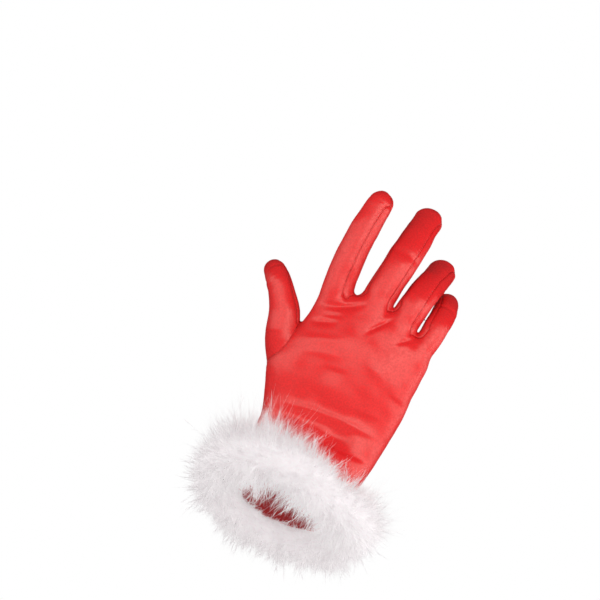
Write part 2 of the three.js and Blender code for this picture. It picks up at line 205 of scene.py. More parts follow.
# The seam between back and palm on each finger: how far it turns towards the back of the hand on
# the finger's thumb side and on its little finger's side. Then the width over which the one turns
# into the other, how fast a part's weight falls off with the distance to it, and how fast the seam
# ends where the thumb's piece or a strip covers it.
SIDE_SEAMS = {"index": (0, 34), "middle": (-12, 15), "ring": (-12, 24), "little": (16, 0)}
SIDE_SEAM_TURNING = 5
SIDE_SEAM_BLEND = 2
SIDE_SEAM_END = 6

# The thumb's own seam: how far towards its back it lies, and the shares of its length between
# which it runs. Then what makes a distance of the difference of two, where the thumb is cut off.
THUMB_SEAM_HEIGHT = 6.3
THUMB_SEAM_SPAN = (0.32, 0.99)
THUMB_CUT_SLOPE = 0.7

# A seam's valley and the ridges on both sides of it: how deep or high, how far off and how wide.
# Then its puckers: their width, their height and how fast their waves run along each axis. The
# distance to a seam is told up to the last.
SEAM_VALLEY = (0.3, 1.3)
SEAM_RIDGE = (0.12, 2.8, 1.2)
PUCKER_WIDTH = 2.0
PUCKER_HEIGHT = 0.05
PUCKER_WAVES = (0.9, 0.6, 2.5)
SEAM_REACH = 20

# The slow waves of slack cloth: the seed of their directions, how many there are, their shortest
# and longest length, and their height.
SLACK_SEED = 11
SLACK_WAVES = 14
SLACK_LENGTHS = (11, 34)
SLACK_HEIGHT = 0.055

# How far out from a digit its threads' direction holds, and its weight against the hand's.
THREAD_REACH = 4
THREAD_PULL = {"index": 4, "middle": 4, "ring": 4, "little": 4, "thumb": 1}

# The folds. side is -1 on the back of the hand and 1 on the palm. Each row has where the fold is
# deepest at its middle, how far it reaches to each side, its slope and bend, the widths of its
# upper and its lower flank, and how far it stands out or, below zero, sinks in.
FOLDS = [
    # side, x, z, reach, slope, bend, upper, lower, rise
    (-1, 10, 56.8, 36, 0, -0.0022, 2.4, 1.5, 0.6),
    (-1, 6, 51.2, 36, 0.06, -0.002, 3.3, 8.0, -2.6),
    (-1, 19, 47.4, 11, 0.05, 0, 4.6, 6.0, -1.6),
    (-1, 16, 41, 30, -0.06, -0.0005, 7.0, 2.0, -2.0),
    (-1, 28, 63.6, 13, 0.05, 0, 2.2, 7.0, -0.9),
    (-1, 10, 62.6, 9, 0.08, 0, 1.8, 9.0, -0.6),
    (-1, 4, 66, 50, 0, 0, 24, 8, 0.9),
    (-1, -2, 66.2, 8, -0.1, 0, 2.0, 8.0, -0.4),
    (-1, 43, 79.5, 9, -0.3, 0, 2.6, 4.0, -0.5),
    (-1, 6, 99, 44, 0.12, -0.003, 16, 8, 0.5),
    (-1, -20, 90, 24, 0, 0, 22, 9, 0.5),
    (-1, -14, 112, 17, 0.3, 0, 20, 8, 0.5),
    (-1, -11, 92.5, 17, 0.15, -0.006, 18, 3.5, 0.75),
    (-1, -14, 99, 15, 0.3, 0, 2.6, 3.4, 0.5),
    (-1, 24, 94, 9, -0.35, 0, 10, 4.0, 0.7),
    (-1, 1, 83.5, 9, 0.1, 0, 2.0, 6.0, -0.6),
    (-1, -16, 110, 9, 0.3, 0, 1.6, 2.4, -0.8),
    (-1, -12, 116, 7, 0.3, 0, 1.4, 2.0, -0.5),
    (-1, -9, 123, 15, 0.37, 0.013, 1.7, 2.8, -1.1),
    (-1, 16.5, 120.5, 8, 1.0, 0, 1.6, 2.4, -1.1),
    (-1, 35, 117.5, 6, 0.5, 0, 1.4, 2.0, -0.8),
    (-1, 30, 78, 20, -0.25, 0, 5.0, 5.0, 0.5),
    (1, 6, 60, 34, 0.1, 0.001, 2.4, 4.0, -1.2),
    (1, 2, 44, 30, -0.08, 0.001, 2.4, 3.4, -1.4),
    (1, 8, 38, 28, -0.08, 0.001, 2.6, 2.6, 0.9),
    (1, 12, 92, 24, -0.42, 0, 3.0, 4.0, -1.3),
    (1, 16, 108, 28, 0.12, -0.003, 2.2, 3.2, -1.2),
    (1, -8, 78, 16, -0.8, 0, 3.0, 3.0, -1.0),
    (1, 30, 72, 18, 0.5, 0, 4.0, 4.0, -0.8),
]

# Creases across the digits: which digit, the share of its length, whether on the back, -1, or on
# the inside of the bend, 1, its width and how far it sinks in.
CREASES = [
    # digit, share, side, width, sink
    ("index", 0.60, 1, 2.0, 0.9),
    ("index", 0.80, 1, 1.8, 0.7),
    ("middle", 0.52, 1, 2.4, 1.6),
    ("middle", 0.58, -1, 2.0, 0.3),
    ("middle", 0.80, 1, 2.0, 1.1),
    ("ring", 0.50, 1, 2.6, 1.9),
    ("ring", 0.80, 1, 2.0, 1.2),
    ("little", 0.50, 1, 2.4, 1.7),
    ("little", 0.66, -1, 1.5, 0.5),
    ("little", 0.80, 1, 1.8, 1.0),
    ("thumb", 0.66, 1, 2.4, 1.2),
    ("thumb", 0.52, 1, 2.4, 1.0),
    ("thumb", 0.72, -1, 1.8, 0.5),
]

# The power by which a fold fades to its ends, how fast it reaches its height as the cloth turns to
# its side, and how far from a digit's middle a crease reaches its depth.
FOLD_FADE = 1.5
FOLD_FACING = 1.6
CREASE_FACING = 6

# The down trim: the middle of its ring, the ring's half width and half depth, and its lean and
# roll like the cuff's.
TRIM = (3, -1.5, -1, 44.5, 34.5, 39, 3)
TRIM_SEED = 7

# The trim's backing: its radius where it lies on the glove and how much more it is outside, with
# lumps of this height, which are waves round the ring and round the tube.
BACKING_RADIUS = 7.0
BACKING_SWELL = 4.2
LUMP_HEIGHT = 0.6
LUMPS = ((9, 2), (17, -3), (29, 5))
BACKING_AROUND = 36
BACKING_ALONG = 300

# Where the trim sags away from the fingers, at the little finger's side of its front: the angle of
# the middle of the sag round the ring, how far it reaches to each side, and its depth.
SAG_TURN = 52
SAG_REACH = 54
SAG_DEPTH = 7

# How far in front the down reaches: it eases off from the first to the second.
FRONT_EASE = -54
FRONT_REACH = -62

# The layers of the down, from the dense under-down to the long sparse wisps. Each row has the
# number of plumes in a piece, the barbs on each, the shortest and the longest quill, the reach of a
# barb, the width of its foot, the segments along it, how far the quills stray, the lowest angle that
# they stand at, and the pieces that the layer is made in.
DOWN_LAYERS = [
    # plumes, barbs, short, long, reach, width, segments, stray, lowest, pieces
    (1500, 20, 2.5, 8.0, 7.5, 0.22, 3, 0.3, -195, 2),
    (1100, 18, 5.0, 12.0, 6.8, 0.27, 3, 0.3, -195, 2),
    (540, 14, 10.0, 19.0, 4.8, 0.28, 5, 0.34, -195, 1),
    (640, 9, 8.0, 15.5, 8.0, 0.16, 5, 0.5, 40, 1),
]

# Where the quills stand: how far from the middle of the backing and, in degrees from the way out
# of the ring, which count up the hand, the highest one, where the inside of the mouth begins, and
# how far on it is full. A quill inside leans by this share of its angle past the mouth's, and no
# quill leans past these limits.
ROOT_RADIUS = 6.0
HIGHEST_ANGLE = 118
MOUTH_ANGLE = -105
MOUTH_SPAN = 90
MOUTH_LEAN = 0.75
LEAN_LIMITS = (-170, 100)

# The tufts, as waves of the quills' length: how strong, how many round the ring, how many round the
# backing, and where each begins.
TUFTS = ((0.12, 9, 0, 1.1), (0.1, 15, 2, 0), (0.08, 23, 0, 0))

# How much longer or shorter the quills are in parts of the ring: above, inside the mouth, above in
# the sag, above on the thumb's side of the front, below in front, and above on the far right.
# Then the power that makes short quills the more frequent.
ABOVE_GROWTH = 0.25
MOUTH_LOSS = 0.4
SAG_LOSS = 0.25
THUMB_SIDE_GROWTH = 0.45
BELOW_GROWTH = 0.5
RIGHT_GROWTH = 0.25
SHORT_QUILLS = 1.6

# The barbs: how the quill droops, how they crowd along it, the least and greatest angle they leave
# it at, how they roll round it and droop, their lengths against their reach, how much they curl
# forward and at random, and how much of their tone is their plume's and their own.
QUILL_DROOP = 0.22
BARB_CROWDING = 0.8
BARB_ANGLES = (10, 42)
BARB_ROLL = 0.8
BARB_DROOP = 0.45
BARB_LENGTHS = (0.5, 1.25)
BARB_CURL = (0.12, 0.34)
BARB_TONES = (0.7, 0.3)

# The ribbons that the barbs are: how they taper and turn, the spread of their widths, and how much
# thinner they are above. Then how far the down keeps off the satin, how far it is moved for that at
# most, the tone of the backing, which is kept low as painted shade deep in the down, and how much of a
# ribbon's tone is its barb's and its share of the way along, which last is painted shade that
# darkens each barb towards its root.
RIBBON_TAPER = 0.6
RIBBON_TURN = 0.15
RIBBON_WIDTHS = (0.6, 1.4)
ABOVE_THINNING = 0.4
CLEARANCE = 0.5
LARGEST_MOVE = 12
BACKING_SHADE = 0.3
RIBBON_TONES = (0.6, 0.4)

# Each side of the cloth: the pitch of its threads and the size of their slubs in metres, and the
# depth of its grain in millimetres.
SATIN_GRAIN = (0.0011, 0.0035, 0.03)
REVERSE_GRAIN = (0.0009, 0.003, 0.12)

# The satin's stitches: their length in metres, the direction that they are counted along, and the
# shade of their thread. Then how the satin's speckle changes its shade and its roughness.
STITCH_LENGTH = 0.0026
STITCH_WAY = (0.45, 0.3, 1.0)
THREAD_SHADE = (0.82, 0.5, 0.5)
SPECKLE_SHADES = (0.91, 1.09)
SPECKLE_ROUGHNESS = 0.07

# How much of its light the down passes on.
DOWN_THROUGH = 0.35

# The stage, in metres: the middle of the picture, the nearest and farthest that the camera sees,
# where the lights aim and their size, and how far the floor reaches to each side.
PICTURE_MIDDLE = (-0.0352, 0.008, 0.1168)
CLIP_LIMITS = (0.05, 60.0)
LIGHT_AIM = (0.0, 0.01, 0.1)
LIGHT_SIZE = (1.0, 0.8)
FLOOR_REACH = 12.0


def carried(rows, shares):
    """Every column of a table at some shares of its length, on a smooth curve through its rows:
    between two rows it is a cubic whose slope at each is half the step between its neighbours."""
    rows = np.asarray(rows, float)
    ends = np.vstack([2 * rows[0] - rows[1], rows, 2 * rows[-1] - rows[-2]])
    at = np.clip(shares, 0, 1) * (len(rows) - 1)
    i = np.minimum(at.astype(int), len(rows) - 2)
    t = (at - i)[..., None]
    p0, p1, p2, p3 = ends[i], ends[i + 1], ends[i + 2], ends[i + 3]
    square = 2 * p0 - 5 * p1 + 4 * p2 - p3
    cubic = 3 * p1 - p0 - 3 * p2 + p3
    return 0.5 * (2 * p1 + (p2 - p0) * t + square * t**2 + cubic * t**3)


def unit(vectors):
    """Vectors at length one."""
    return vectors / np.maximum(np.linalg.norm(vectors, axis=-1, keepdims=True), 1e-12)


def least(a, b, blend):
    """The smaller of two values, with a smooth change from one to the other where they are close."""
    close = np.maximum(blend - np.abs(a - b), 0) / blend
    return np.minimum(a, b) - close**2 * blend / 4


def most(a, b, blend):
    """The larger of two values, with a smooth change from one to the other."""
    return -least(-a, -b, blend)


def section_frame(lean, roll):
    """The directions across a hand section and out of its back, from its lean and roll."""
    lean, roll = np.radians(lean), np.radians(roll)
    nothing = np.zeros_like(lean)
    across = np.stack([np.cos(roll), nothing, -np.sin(roll)], -1)
    back = np.stack([nothing, -np.cos(lean), np.sin(lean)], -1)
    return across, back


def mouth_axis():
    """The direction up the hand, square to the cuff's mouth."""
    across, back = section_frame(*HAND_SECTIONS[0][LEAN:BOW])
    return unit(np.cross(back, across))


def above_mouth(points):
    """The distance of points above the plane of the cuff's mouth."""
    return (points - HAND_SECTIONS[0][:3]) @ mouth_axis()


@functools.lru_cache(maxsize=None)
def hand_line():
    """The hand's sections at its stations: their table, and the direction square to each."""
    rows = carried(HAND_SECTIONS, np.linspace(0, 1, HAND_STATIONS))
    across, back = section_frame(rows[:, LEAN], rows[:, ROLL])
    return rows, unit(np.cross(back, across))


def section_at(points):
    """The hand's section whose plane each point is in, mixed from the two stations next to it."""
    rows, way = hand_line()
    heights = points @ way.T - (rows[:, :3] * way).sum(1)
    found = np.clip((heights > 0).sum(1) - 1, 0, HAND_STATIONS - 2)
    each = np.arange(len(points))
    low, high = heights[each, found], heights[each, found + 1]
    share = np.clip(low / np.where(low == high, 1, low - high), 0, 1)[:, None]
    return rows[found] * (1 - share) + rows[found + 1] * share


def hand_reading(points):
    """How points lie to the hand's own tube: the distance outside it, the direction outwards, and
    the distance towards the back.
    Each point takes the section whose plane it is in; a section is |u/w|^n + |v/d|^n = 1, where u
    and v are the distances across and towards the back, and the distance is measured along the
    ray from the section's middle. A section's ends drop by its bow, so points beside its middle
    are lifted by as much first. The top is closed by a low dome."""
    row = section_at(points)
    beside = np.clip(np.abs((points[:, 0] - row[:, 0]) / row[:, WIDTH]), 0, 1)
    lifted = points.copy()
    lifted[:, 2] += row[:, BOW] * beside**2
    row = section_at(lifted)
    across, back = section_frame(row[:, LEAN], row[:, ROLL])
    offset = lifted - row[:, :3]
    u, v = (offset * across).sum(1), (offset * back).sum(1)
    n = HAND_SQUARENESS
    q = (np.abs(u / row[:, WIDTH]) ** n + np.abs(v / row[:, DEPTH]) ** n + 1e-9) ** (1 / n)
    radius = np.hypot(u, v)
    tube = radius - radius / q
    outwards = unit(across * u[:, None] + back * v[:, None])
    crown = WEB_CROWN_HEIGHT - WEB_FALL * (points[:, 0] - WEB_CROWN_X) ** 2
    return most(tube, points[:, 2] - crown, WEB_ROUNDING), outwards, v


@functools.lru_cache(maxsize=None)
def digit_line(name):
    """A digit's middle line at its stations: its table there, and its direction."""
    rows = carried(DIGITS[name], np.linspace(0, 1, DIGIT_STATIONS))
    return rows, unit(np.gradient(rows[:, :3], axis=0))


def digit_reading(name, points):
    """How points lie to a digit: the distance outside it, the share of its length, and the
    distances across it and towards its back. A digit is an oval tube round its middle line, with
    a half oval ball at its end; a point belongs to the nearest stretch of the line."""
    rows, way = digit_line(name)
    middle = rows[:, :3]
    span = middle[1:] - middle[:-1]
    length = (span**2).sum(1)
    dot = points @ span.T - (middle[:-1] * span).sum(1)
    t = np.clip(dot / length, 0, 1)
    far = (points**2).sum(1)[:, None] - 2 * points @ middle[:-1].T + (middle[:-1] ** 2).sum(1)
    far = far - 2 * t * dot + t**2 * length
    found = far.argmin(1)
    each = np.arange(len(points))
    t = t[each, found][:, None]
    row = rows[found] * (1 - t) + rows[found + 1] * t
    along = unit(way[found] * (1 - t) + way[found + 1] * t)
    across = unit(np.array([1.0, 0, 0]) - along * along[:, :1])
    back = np.cross(across, along)
    offset = points - row[:, :3]
    u, v, w = (offset * across).sum(1), (offset * back).sum(1), (offset * along).sum(1)
    width, depth = row[:, WIDTH], row[:, DEPTH]
    q = np.sqrt((u / width) ** 2 + (v / depth) ** 2 + (w / width) ** 2 + 1e-9)
    radius = np.sqrt(u**2 + v**2 + w**2)
    share = (found + t[:, 0]) / (DIGIT_STATIONS - 1) + w / 100
    return radius - radius / q, share, u, v


def joined(hand, digits):
    """The distances outside the hand with its fingers and outside the whole glove, from those
    outside each of them: the smallest, blended where two are close."""
    fingers = digits["index"]
    for name in FINGERS[1:]:
        fingers = least(fingers, digits[name], FINGER_BLEND)
    body = least(hand, fingers, KNUCKLE_BLEND)
    return body, least(body, digits["thumb"], THUMB_BLEND)


def glove_value(points):
    """The distance of points outside the smooth glove."""
    digits = {name: digit_reading(name, points)[0] for name in DIGITS}
    return joined(hand_reading(points)[0], digits)[1]


def slope(points):
    """The glove's value at points and its direction of growth, by differences over a short step."""
    value = glove_value(points)
    moves = np.eye(3) * GRADIENT_STEP
    rise = [glove_value(points + move) - glove_value(points - move) for move in moves]
    return value, np.stack(rise, 1) / (2 * GRADIENT_STEP)


def in_chunks(reading, points, size=120000):
    """A reading of many points, taken a part at a time."""
    return np.concatenate([reading(points[i : i + size]) for i in range(0, len(points), size)])


def grid_values(step):
    """The glove's value on a grid of points over its whole box. Each part is worked out only in
    its own box, and counts as far away elsewhere."""
    low = np.array(GLOVE_CORNER)
    counts = (np.array(GLOVE_SIZE) / step).astype(int)
    axes = [low[i] + step * np.arange(counts[i]) for i in range(3)]

    def part(reading, corner, opposite):
        span = [np.searchsorted(axes[i], (corner[i], opposite[i])) for i in range(3)]
        picked = [axes[i][span[i][0] : span[i][1]] for i in range(3)]
        points = np.stack(np.meshgrid(*picked, indexing="ij"), -1).reshape(-1, 3)
        values = np.full(counts, OUT_OF_BOX)
        block = tuple(slice(a, b) for a, b in span)
        values[block] = in_chunks(reading, points).reshape([len(p) for p in picked])
        return values

    digits = {}
    for name, rows in DIGITS.items():
        table = np.array(rows, float)
        digits[name] = part(
            lambda points, name=name: digit_reading(name, points)[0],
            table[:, :3].min(0) - DIGIT_MARGIN,
            table[:, :3].max(0) + DIGIT_MARGIN,
        )
    hand = part(lambda points: hand_reading(points)[0], *HAND_BOX)
    return joined(hand, digits)[1], low


def surface_net(values, low, step):
    """The surface where grid values change sign: a point in each cell it passes through, at the
    mean of its crossings of the cell's edges, and a quad round each grid edge that it crosses."""
    shape = np.array(values.shape)
    inside = values < 0
    total = np.zeros((shape.prod(), 3))
    count = np.zeros(shape.prod())
    quads = []
    axes = np.eye(3, dtype=int)
    for axis in range(3):
        step_on = axes[axis]
        first = [slice(0, shape[i] - step_on[i]) for i in range(3)]
        second = [slice(step_on[i], shape[i]) for i in range(3)]
        edges = np.argwhere(inside[tuple(first)] != inside[tuple(second)])
        edges = edges[(edges > 0).all(1) & (edges < shape - 1).all(1)]
        start, end = values[tuple(edges.T)], values[tuple((edges + step_on).T)]
        crossing = edges + step_on * (start / (start - end))[:, None]
        u, v = axes[(axis + 1) % 3], axes[(axis + 2) % 3]
        cells = [edges, edges - u, edges - u - v, edges - v]
        flat = [np.ravel_multi_index(tuple(c.T), shape) for c in cells]
        for cell in flat:
            count += np.bincount(cell, minlength=len(count))
            for i in range(3):
                total[:, i] += np.bincount(cell, crossing[:, i], len(count))
        quad = np.stack(flat, 1)
        quad[start > 0] = quad[start > 0][:, ::-1]
        quads.append(quad)
    used = np.flatnonzero(count)
    numbers = np.zeros(len(count), int)
    numbers[used] = np.arange(len(used))
    points = low + step * total[used] / count[used][:, None]
    return points, numbers[np.concatenate(quads)]


def settled(points, quads):
    """The net's points moved onto the smooth surface, and spread evenly along it: by turns each
    goes down the slope to value zero, and along the surface towards the mean of its neighbours."""
    edges = np.concatenate([quads[:, [i, (i + 1) % 4]] for i in range(4)])
    edges = np.concatenate([edges, edges[:, ::-1]])
    share = np.bincount(edges[:, 0], minlength=len(points))[:, None]
    for turn in range(SETTLING_TURNS):
        if turn:
            near = [np.bincount(edges[:, 0], points[edges[:, 1], i], len(points)) for i in range(3)]
            pull = np.stack(near, 1) / share - points
            points = points + EVENNESS * (pull - normal * (pull * normal).sum(1)[:, None])
        value, growth = slope(points)
        size = (growth**2).sum(1)
        points = points - growth * (value / np.maximum(size, 0.2))[:, None]
        normal = growth / np.sqrt(size)[:, None]
    return points, normal


def strip_value(points, readings, fourchette):
    """How far points lie inside a fourchette's edges, in millimetres: up the side of each of its
    fingers within the strip's half width, which narrows to the tip, and across the web."""
    left, right, left_turn, right_turn, web = fourchette
    bars = []
    for name, side, turn in ((left, 1, left_turn), (right, -1, right_turn)):
        distance, share, u, v = readings[name]
        table = np.array(DIGITS[name])
        start = np.interp(web - STRIP_START, table[:, 2], np.linspace(0, 1, len(table)))
        turn = math.radians(turn)
        out = side * math.cos(turn) * u + math.sin(turn) * v
        off = math.cos(turn) * v - side * math.sin(turn) * u
        up = np.clip((share - start) / (1 - start), 0, 1.2)
        fade = np.sqrt(np.clip(1 - up**3, 0, 1))
        half = STRIP_TIP_HALF_WIDTH + (STRIP_HALF_WIDTH - STRIP_TIP_HALF_WIDTH) * fade
        bar = least(half - np.abs(off), (share - start) * FINGER_LENGTH, STRIP_FOOT_ROUNDING)
        bar = np.minimum(bar, (STRIP_END_SHARE - share) * FINGERTIP_LENGTH)
        layer = STRIP_LAYER - np.abs(distance) * STRIP_LAYER_FALL
        bars.append(np.minimum(np.minimum(bar, out), layer))
    x0, x1 = DIGITS[left][1][0], DIGITS[right][1][0]
    bridge = least(
        STRIP_HALF_WIDTH - np.abs(points[:, 1] - DIGITS[left][1][1]),
        WEB_BRIDGE - np.abs(points[:, 2] - web - 1),
        WEB_BRIDGE_ROUNDING,
    )
    inside = (x1 - x0) / 2 - np.abs(points[:, 0] - (x0 + x1) / 2)
    bridge = np.minimum(bridge, inside)
    return most(most(bars[0], bars[1], STRIP_BLEND), bridge, BRIDGE_BLEND)


def fold_height(points, normal):
    """How far the folds move the cloth out, in millimetres: each is a smooth bell across its line,
    with its own width on each flank, that fades out at both ends, on one face of the hand."""
    height = np.zeros(len(points))
    for side, x, z, reach, incline, bend, upper, lower, rise in FOLDS:
        run = points[:, 0] - x
        fade = np.clip(1 - (run / reach) ** 2, 0, 1) ** FOLD_FADE
        across = points[:, 2] - z - incline * run - bend * run**2
        across = across / np.where(across > 0, upper, lower)
        facing = np.clip(side * normal[:, 1] * FOLD_FACING, 0, 1)
        height += rise * fade * facing * np.exp(-(across**2))
    return height


def crease_height(readings):
    """How far the creases across the digits sink, in millimetres: a bell along the digit, on one
    of its faces and only in its own skin."""
    height = 0
    for name, at, side, width, sink in CREASES:
        distance, share, _, v = readings[name]
        rows, _ = digit_line(name)
        length = np.linalg.norm(np.diff(rows[:, :3], axis=0), axis=1).sum()
        across = (share - at) * length / width
        facing = np.clip(-side * v / CREASE_FACING, 0, 1)
        near = np.clip(SKIN - np.abs(distance), 0, 1)
        height = height - sink * facing * near * np.exp(-(across**2))
    return height


def slackness(points):
    """The slight unevenness of slack cloth, in millimetres: a sum of slow waves."""
    rng = np.random.default_rng(SLACK_SEED)
    height = np.zeros(len(points))
    for _ in range(SLACK_WAVES):
        way = unit(rng.normal(size=3)) * 2 * math.pi / rng.uniform(*SLACK_LENGTHS)
        height += np.sin(points @ way + rng.uniform(0, 2 * math.pi))
    return SLACK_HEIGHT * height


def seam_line(value):
    """How far a seam's cloth sinks beside it, in millimetres, from the distance to the seam: a
    shallow valley between two faint ridges."""
    depth, width = SEAM_VALLEY
    height, place, breadth = SEAM_RIDGE
    ridge = height * np.exp(-(((np.abs(value) - place) / breadth) ** 2))
    return -depth * np.exp(-((value / width) ** 2)) + ridge


def thumb_seam(readings):
    """The distance from the thumb's own seam, up the side that faces the hand."""
    distance, share, u, v = readings["thumb"]
    start, end = THUMB_SEAM_SPAN
    away = np.where((u > 0) & (distance < SKIN), v - THUMB_SEAM_HEIGHT, FAR)
    return np.where((share > start) & (share < end), away, FAR)


def thread_way(readings):
    """The direction of the cloth's threads: up the hand, on each finger along its middle line,
    weighted by how near it is, and on the thumb halfway between the two. A digit's own direction
    fades in from a sixth of its length to the half."""
    way = np.array([0.0, 0.0, 1.0])
    for name, (distance, share, _, _) in readings.items():
        _, along = digit_line(name)
        at = np.clip(share, 0, 1) * (DIGIT_STATIONS - 1)
        found = np.minimum(at.astype(int), DIGIT_STATIONS - 2)
        t = (at - found)[:, None]
        near = np.clip(1 - distance / THREAD_REACH, 0, 1) * np.clip(share * 3 - 0.5, 0, 1)
        near = near * THREAD_PULL[name]
        way = way + near[:, None] * (along[found] * (1 - t) + along[found + 1] * t)
    return unit(way)


def side_seam(readings, hand_distance, hand_back):
    """The distance from the seam between back and palm, above zero towards the back. Each finger
    has its own, a half plane on each side of its middle line; they and the hand's are averaged
    with weights that fall off with the distance to each."""
    values = [hand_back]
    weights = [np.exp(-SIDE_SEAM_BLEND * np.maximum(hand_distance, 0))]
    for name, (thumb_turn, little_turn) in SIDE_SEAMS.items():
        distance, _, u, v = readings[name]
        mix = np.clip(u / SIDE_SEAM_TURNING + 0.5, 0, 1)
        turn = np.radians(thumb_turn + (little_turn - thumb_turn) * mix * mix * (3 - 2 * mix))
        values.append(np.cos(turn) * v - np.sin(turn) * np.abs(u))
        weights.append(np.exp(-SIDE_SEAM_BLEND * np.maximum(distance, 0)))
    return sum(w * v for w, v in zip(weights, values)) / np.maximum(sum(weights), 1e-12)


def clipped(table, triangles, value):
    """The part of a mesh where value is above zero, cut exactly along its line. A triangle that
    the line crosses keeps one corner or two, and gets new corners on its crossed edges, each at
    the share of the edge where value is zero. table has a row for each point, and its first three
    columns are the place."""
    kept = value > 0
    total = len(table)
    edges = np.concatenate([triangles[:, [0, 1]], triangles[:, [1, 2]], triangles[:, [2, 0]]])
    edges = np.sort(edges[kept[edges[:, 0]] != kept[edges[:, 1]]], 1)
    keys = np.unique(edges[:, 0] * total + edges[:, 1])
    i, j = keys // total, keys % total
    share = (value[i] / (value[i] - value[j]))[:, None]
    table = np.concatenate([table, table[i] * (1 - share) + table[j] * share])

    def crossing(a, b):
        return total + np.searchsorted(keys, np.minimum(a, b) * total + np.maximum(a, b))

    def turned(count, odd):
        """The triangles that keep count corners, each started at its odd corner."""
        picked = triangles[kept[triangles].sum(1) == count]
        first = (kept[picked] == odd).argmax(1)
        return np.take_along_axis(picked, (first[:, None] + np.arange(3)) % 3, 1).T

    a, b, c = turned(1, True)
    d, e, f = turned(2, False)
    faces = [
        triangles[kept[triangles].all(1)],
        np.stack([a, crossing(a, b), crossing(a, c)], 1),
        np.stack([crossing(d, e), e, f], 1),
        np.stack([crossing(d, e), f, crossing(d, f)], 1),
    ]
    faces = np.concatenate(faces)
    used = np.unique(faces)
    numbers = np.zeros(len(table), int)
    numbers[used] = np.arange(len(used))
    return table[used], numbers[faces]


def split_quads(points, quads):
    """Each quad as two triangles, cut along its shorter diagonal."""
    a, b, c, d = quads.T
    short = ((points[a] - points[c]) ** 2).sum(1) < ((points[b] - points[d]) ** 2).sum(1)
    one = np.where(short[:, None], np.stack([a, b, c], 1), np.stack([a, b, d], 1))
    two = np.where(short[:, None], np.stack([a, c, d], 1), np.stack([b, c, d], 1))
    return np.concatenate([one, two])


# The columns of the cloth's table after a point's place: how far it lies inside the thumb piece and
# inside each fourchette, to the back's side of the side seam and above the cuff's edge, then how far
# it is from the nearest seam, and the direction of its threads.
THUMB, FIRST_STRIP, BACK, CUFF, SEAM = 3, 4, 7, 8, 9
THREADS = slice(10, 13)


@functools.lru_cache(maxsize=None)
def glove_cloth(step):
    """The glove's outer skin with its folds and seams, before it is cut into pieces: a table of
    its points, with the values that the cuts follow, and its triangles."""
    values, low = grid_values(step)
    points, quads = surface_net(values, low, step)
    points, normal = settled(points, quads)
    readings = {name: digit_reading(name, points) for name in DIGITS}
    hand_distance, _, hand_back = hand_reading(points)
    body, _ = joined(hand_distance, {name: reading[0] for name, reading in readings.items()})
    thumb = (body - readings["thumb"][0]) * THUMB_CUT_SLOPE
    strips = [strip_value(points, readings, row) for row in FOURCHETTES]
    back = side_seam(readings, hand_distance, hand_back)
    cuff = above_mouth(points)
    covered = np.clip(np.max([thumb, *strips], 0) + 1, 0, None) * SIDE_SEAM_END
    seams = [thumb, *strips, thumb_seam(readings), np.abs(back) + covered]
    sink = sum(seam_line(seam) for seam in seams)
    pucker = sum(np.exp(-((seam / PUCKER_WIDTH) ** 2)) for seam in seams)
    height = fold_height(points, normal) + crease_height(readings) + slackness(points) + sink
    height = height + PUCKER_HEIGHT * pucker * np.sin(points @ np.array(PUCKER_WAVES))
    nearest = np.min(np.abs(seams), 0)
    points = points + normal * height[:, None]
    way = thread_way(readings)
    table = np.stack([*points.T, thumb, *strips, back, cuff, nearest, *way.T], 1)
    return table, split_quads(points, quads)


def inside_shell(table, side):
    """How far points lie inside the back, for side 1, or the palm, for side -1."""
    return np.minimum(-np.max(table[:, THUMB:BACK], 1), side * table[:, BACK])


def cloth_piece(step, value_of):
    """A piece of the glove's cloth: the part of the skin where value_of of its table is above
    zero, less half a seam's gap, up from the cuff. Returns its points, triangles, distance from
    the nearest seam and thread direction."""
    table, triangles = glove_cloth(step)
    table, faces = clipped(table, triangles, value_of(table) - SEAM_GAP / 2)
    table, faces = clipped(table, faces, table[:, CUFF])
    return table[:, :3], faces, table[:, SEAM], table[:, THREADS]


def new_mesh(name, points, faces, attributes):
    """A Blender object from points in millimetres, triangles and named point values."""
    mesh = bpy.data.meshes.new(name)
    mesh.vertices.add(len(points))
    mesh.vertices.foreach_set("co", (points * MM).astype(np.float32).ravel())
    mesh.loops.add(faces.size)
    mesh.loops.foreach_set("vertex_index", faces.astype(np.int32).ravel())
    mesh.polygons.add(len(faces))
    mesh.polygons.foreach_set("loop_start", np.arange(0, faces.size, 3, dtype=np.int32))
    mesh.update(calc_edges=True)
    mesh.validate()
    mesh.polygons.foreach_set("use_smooth", np.ones(len(mesh.polygons), bool))
    for key, values in attributes:
        kind, field = ("FLOAT", "value") if values.ndim == 1 else ("FLOAT_VECTOR", "vector")
        attribute = mesh.attributes.new(key, kind, "POINT")
        attribute.data.foreach_set(field, values.astype(np.float32).ravel())
    piece = bpy.data.objects.new(name, mesh)
    bpy.context.scene.collection.objects.link(piece)
    return piece


def dress(piece, slot, node, *materials):
    """Gives a piece its materials and its body, and hides the node that it stands for; slot is not used.
    """
    for material in materials:
        piece.data.materials.append(material)
    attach(piece, "root")
    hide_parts(node)


def sew_cloth(name, node, value_of):
    """Makes a cloth piece of the glove, with its thickness inwards and its dull side inside."""
    settings = satin_settings()
    step = settings.step * 1
    points, faces, seam, way = cloth_piece(step, value_of)
    values = [("seam_distance", np.clip(seam, 0, SEAM_REACH)), ("thread_way", way)]
    piece = new_mesh(name, points, faces, values)
    solidify = piece.modifiers.new("cloth thickness", "SOLIDIFY")
    solidify.thickness = settings.thickness * MM
    solidify.offset = -1
    solidify.use_even_offset = False
    solidify.material_offset = 1
    dress(piece, "satin", node, satin_material(), reverse_material())


def feed(tree, socket, value):
    """Links a socket from another one, or sets its value."""
    if isinstance(value, bpy.types.NodeSocket):
        tree.links.new(value, socket)
    else:
        socket.default_value = value


def fed(tree, node, inputs):
    """A node with some of its inputs fed; a space in an input's name is written as _."""
    for key, value in inputs.items():
        feed(tree, node.inputs[key.replace("_", " ")], value)
    return node


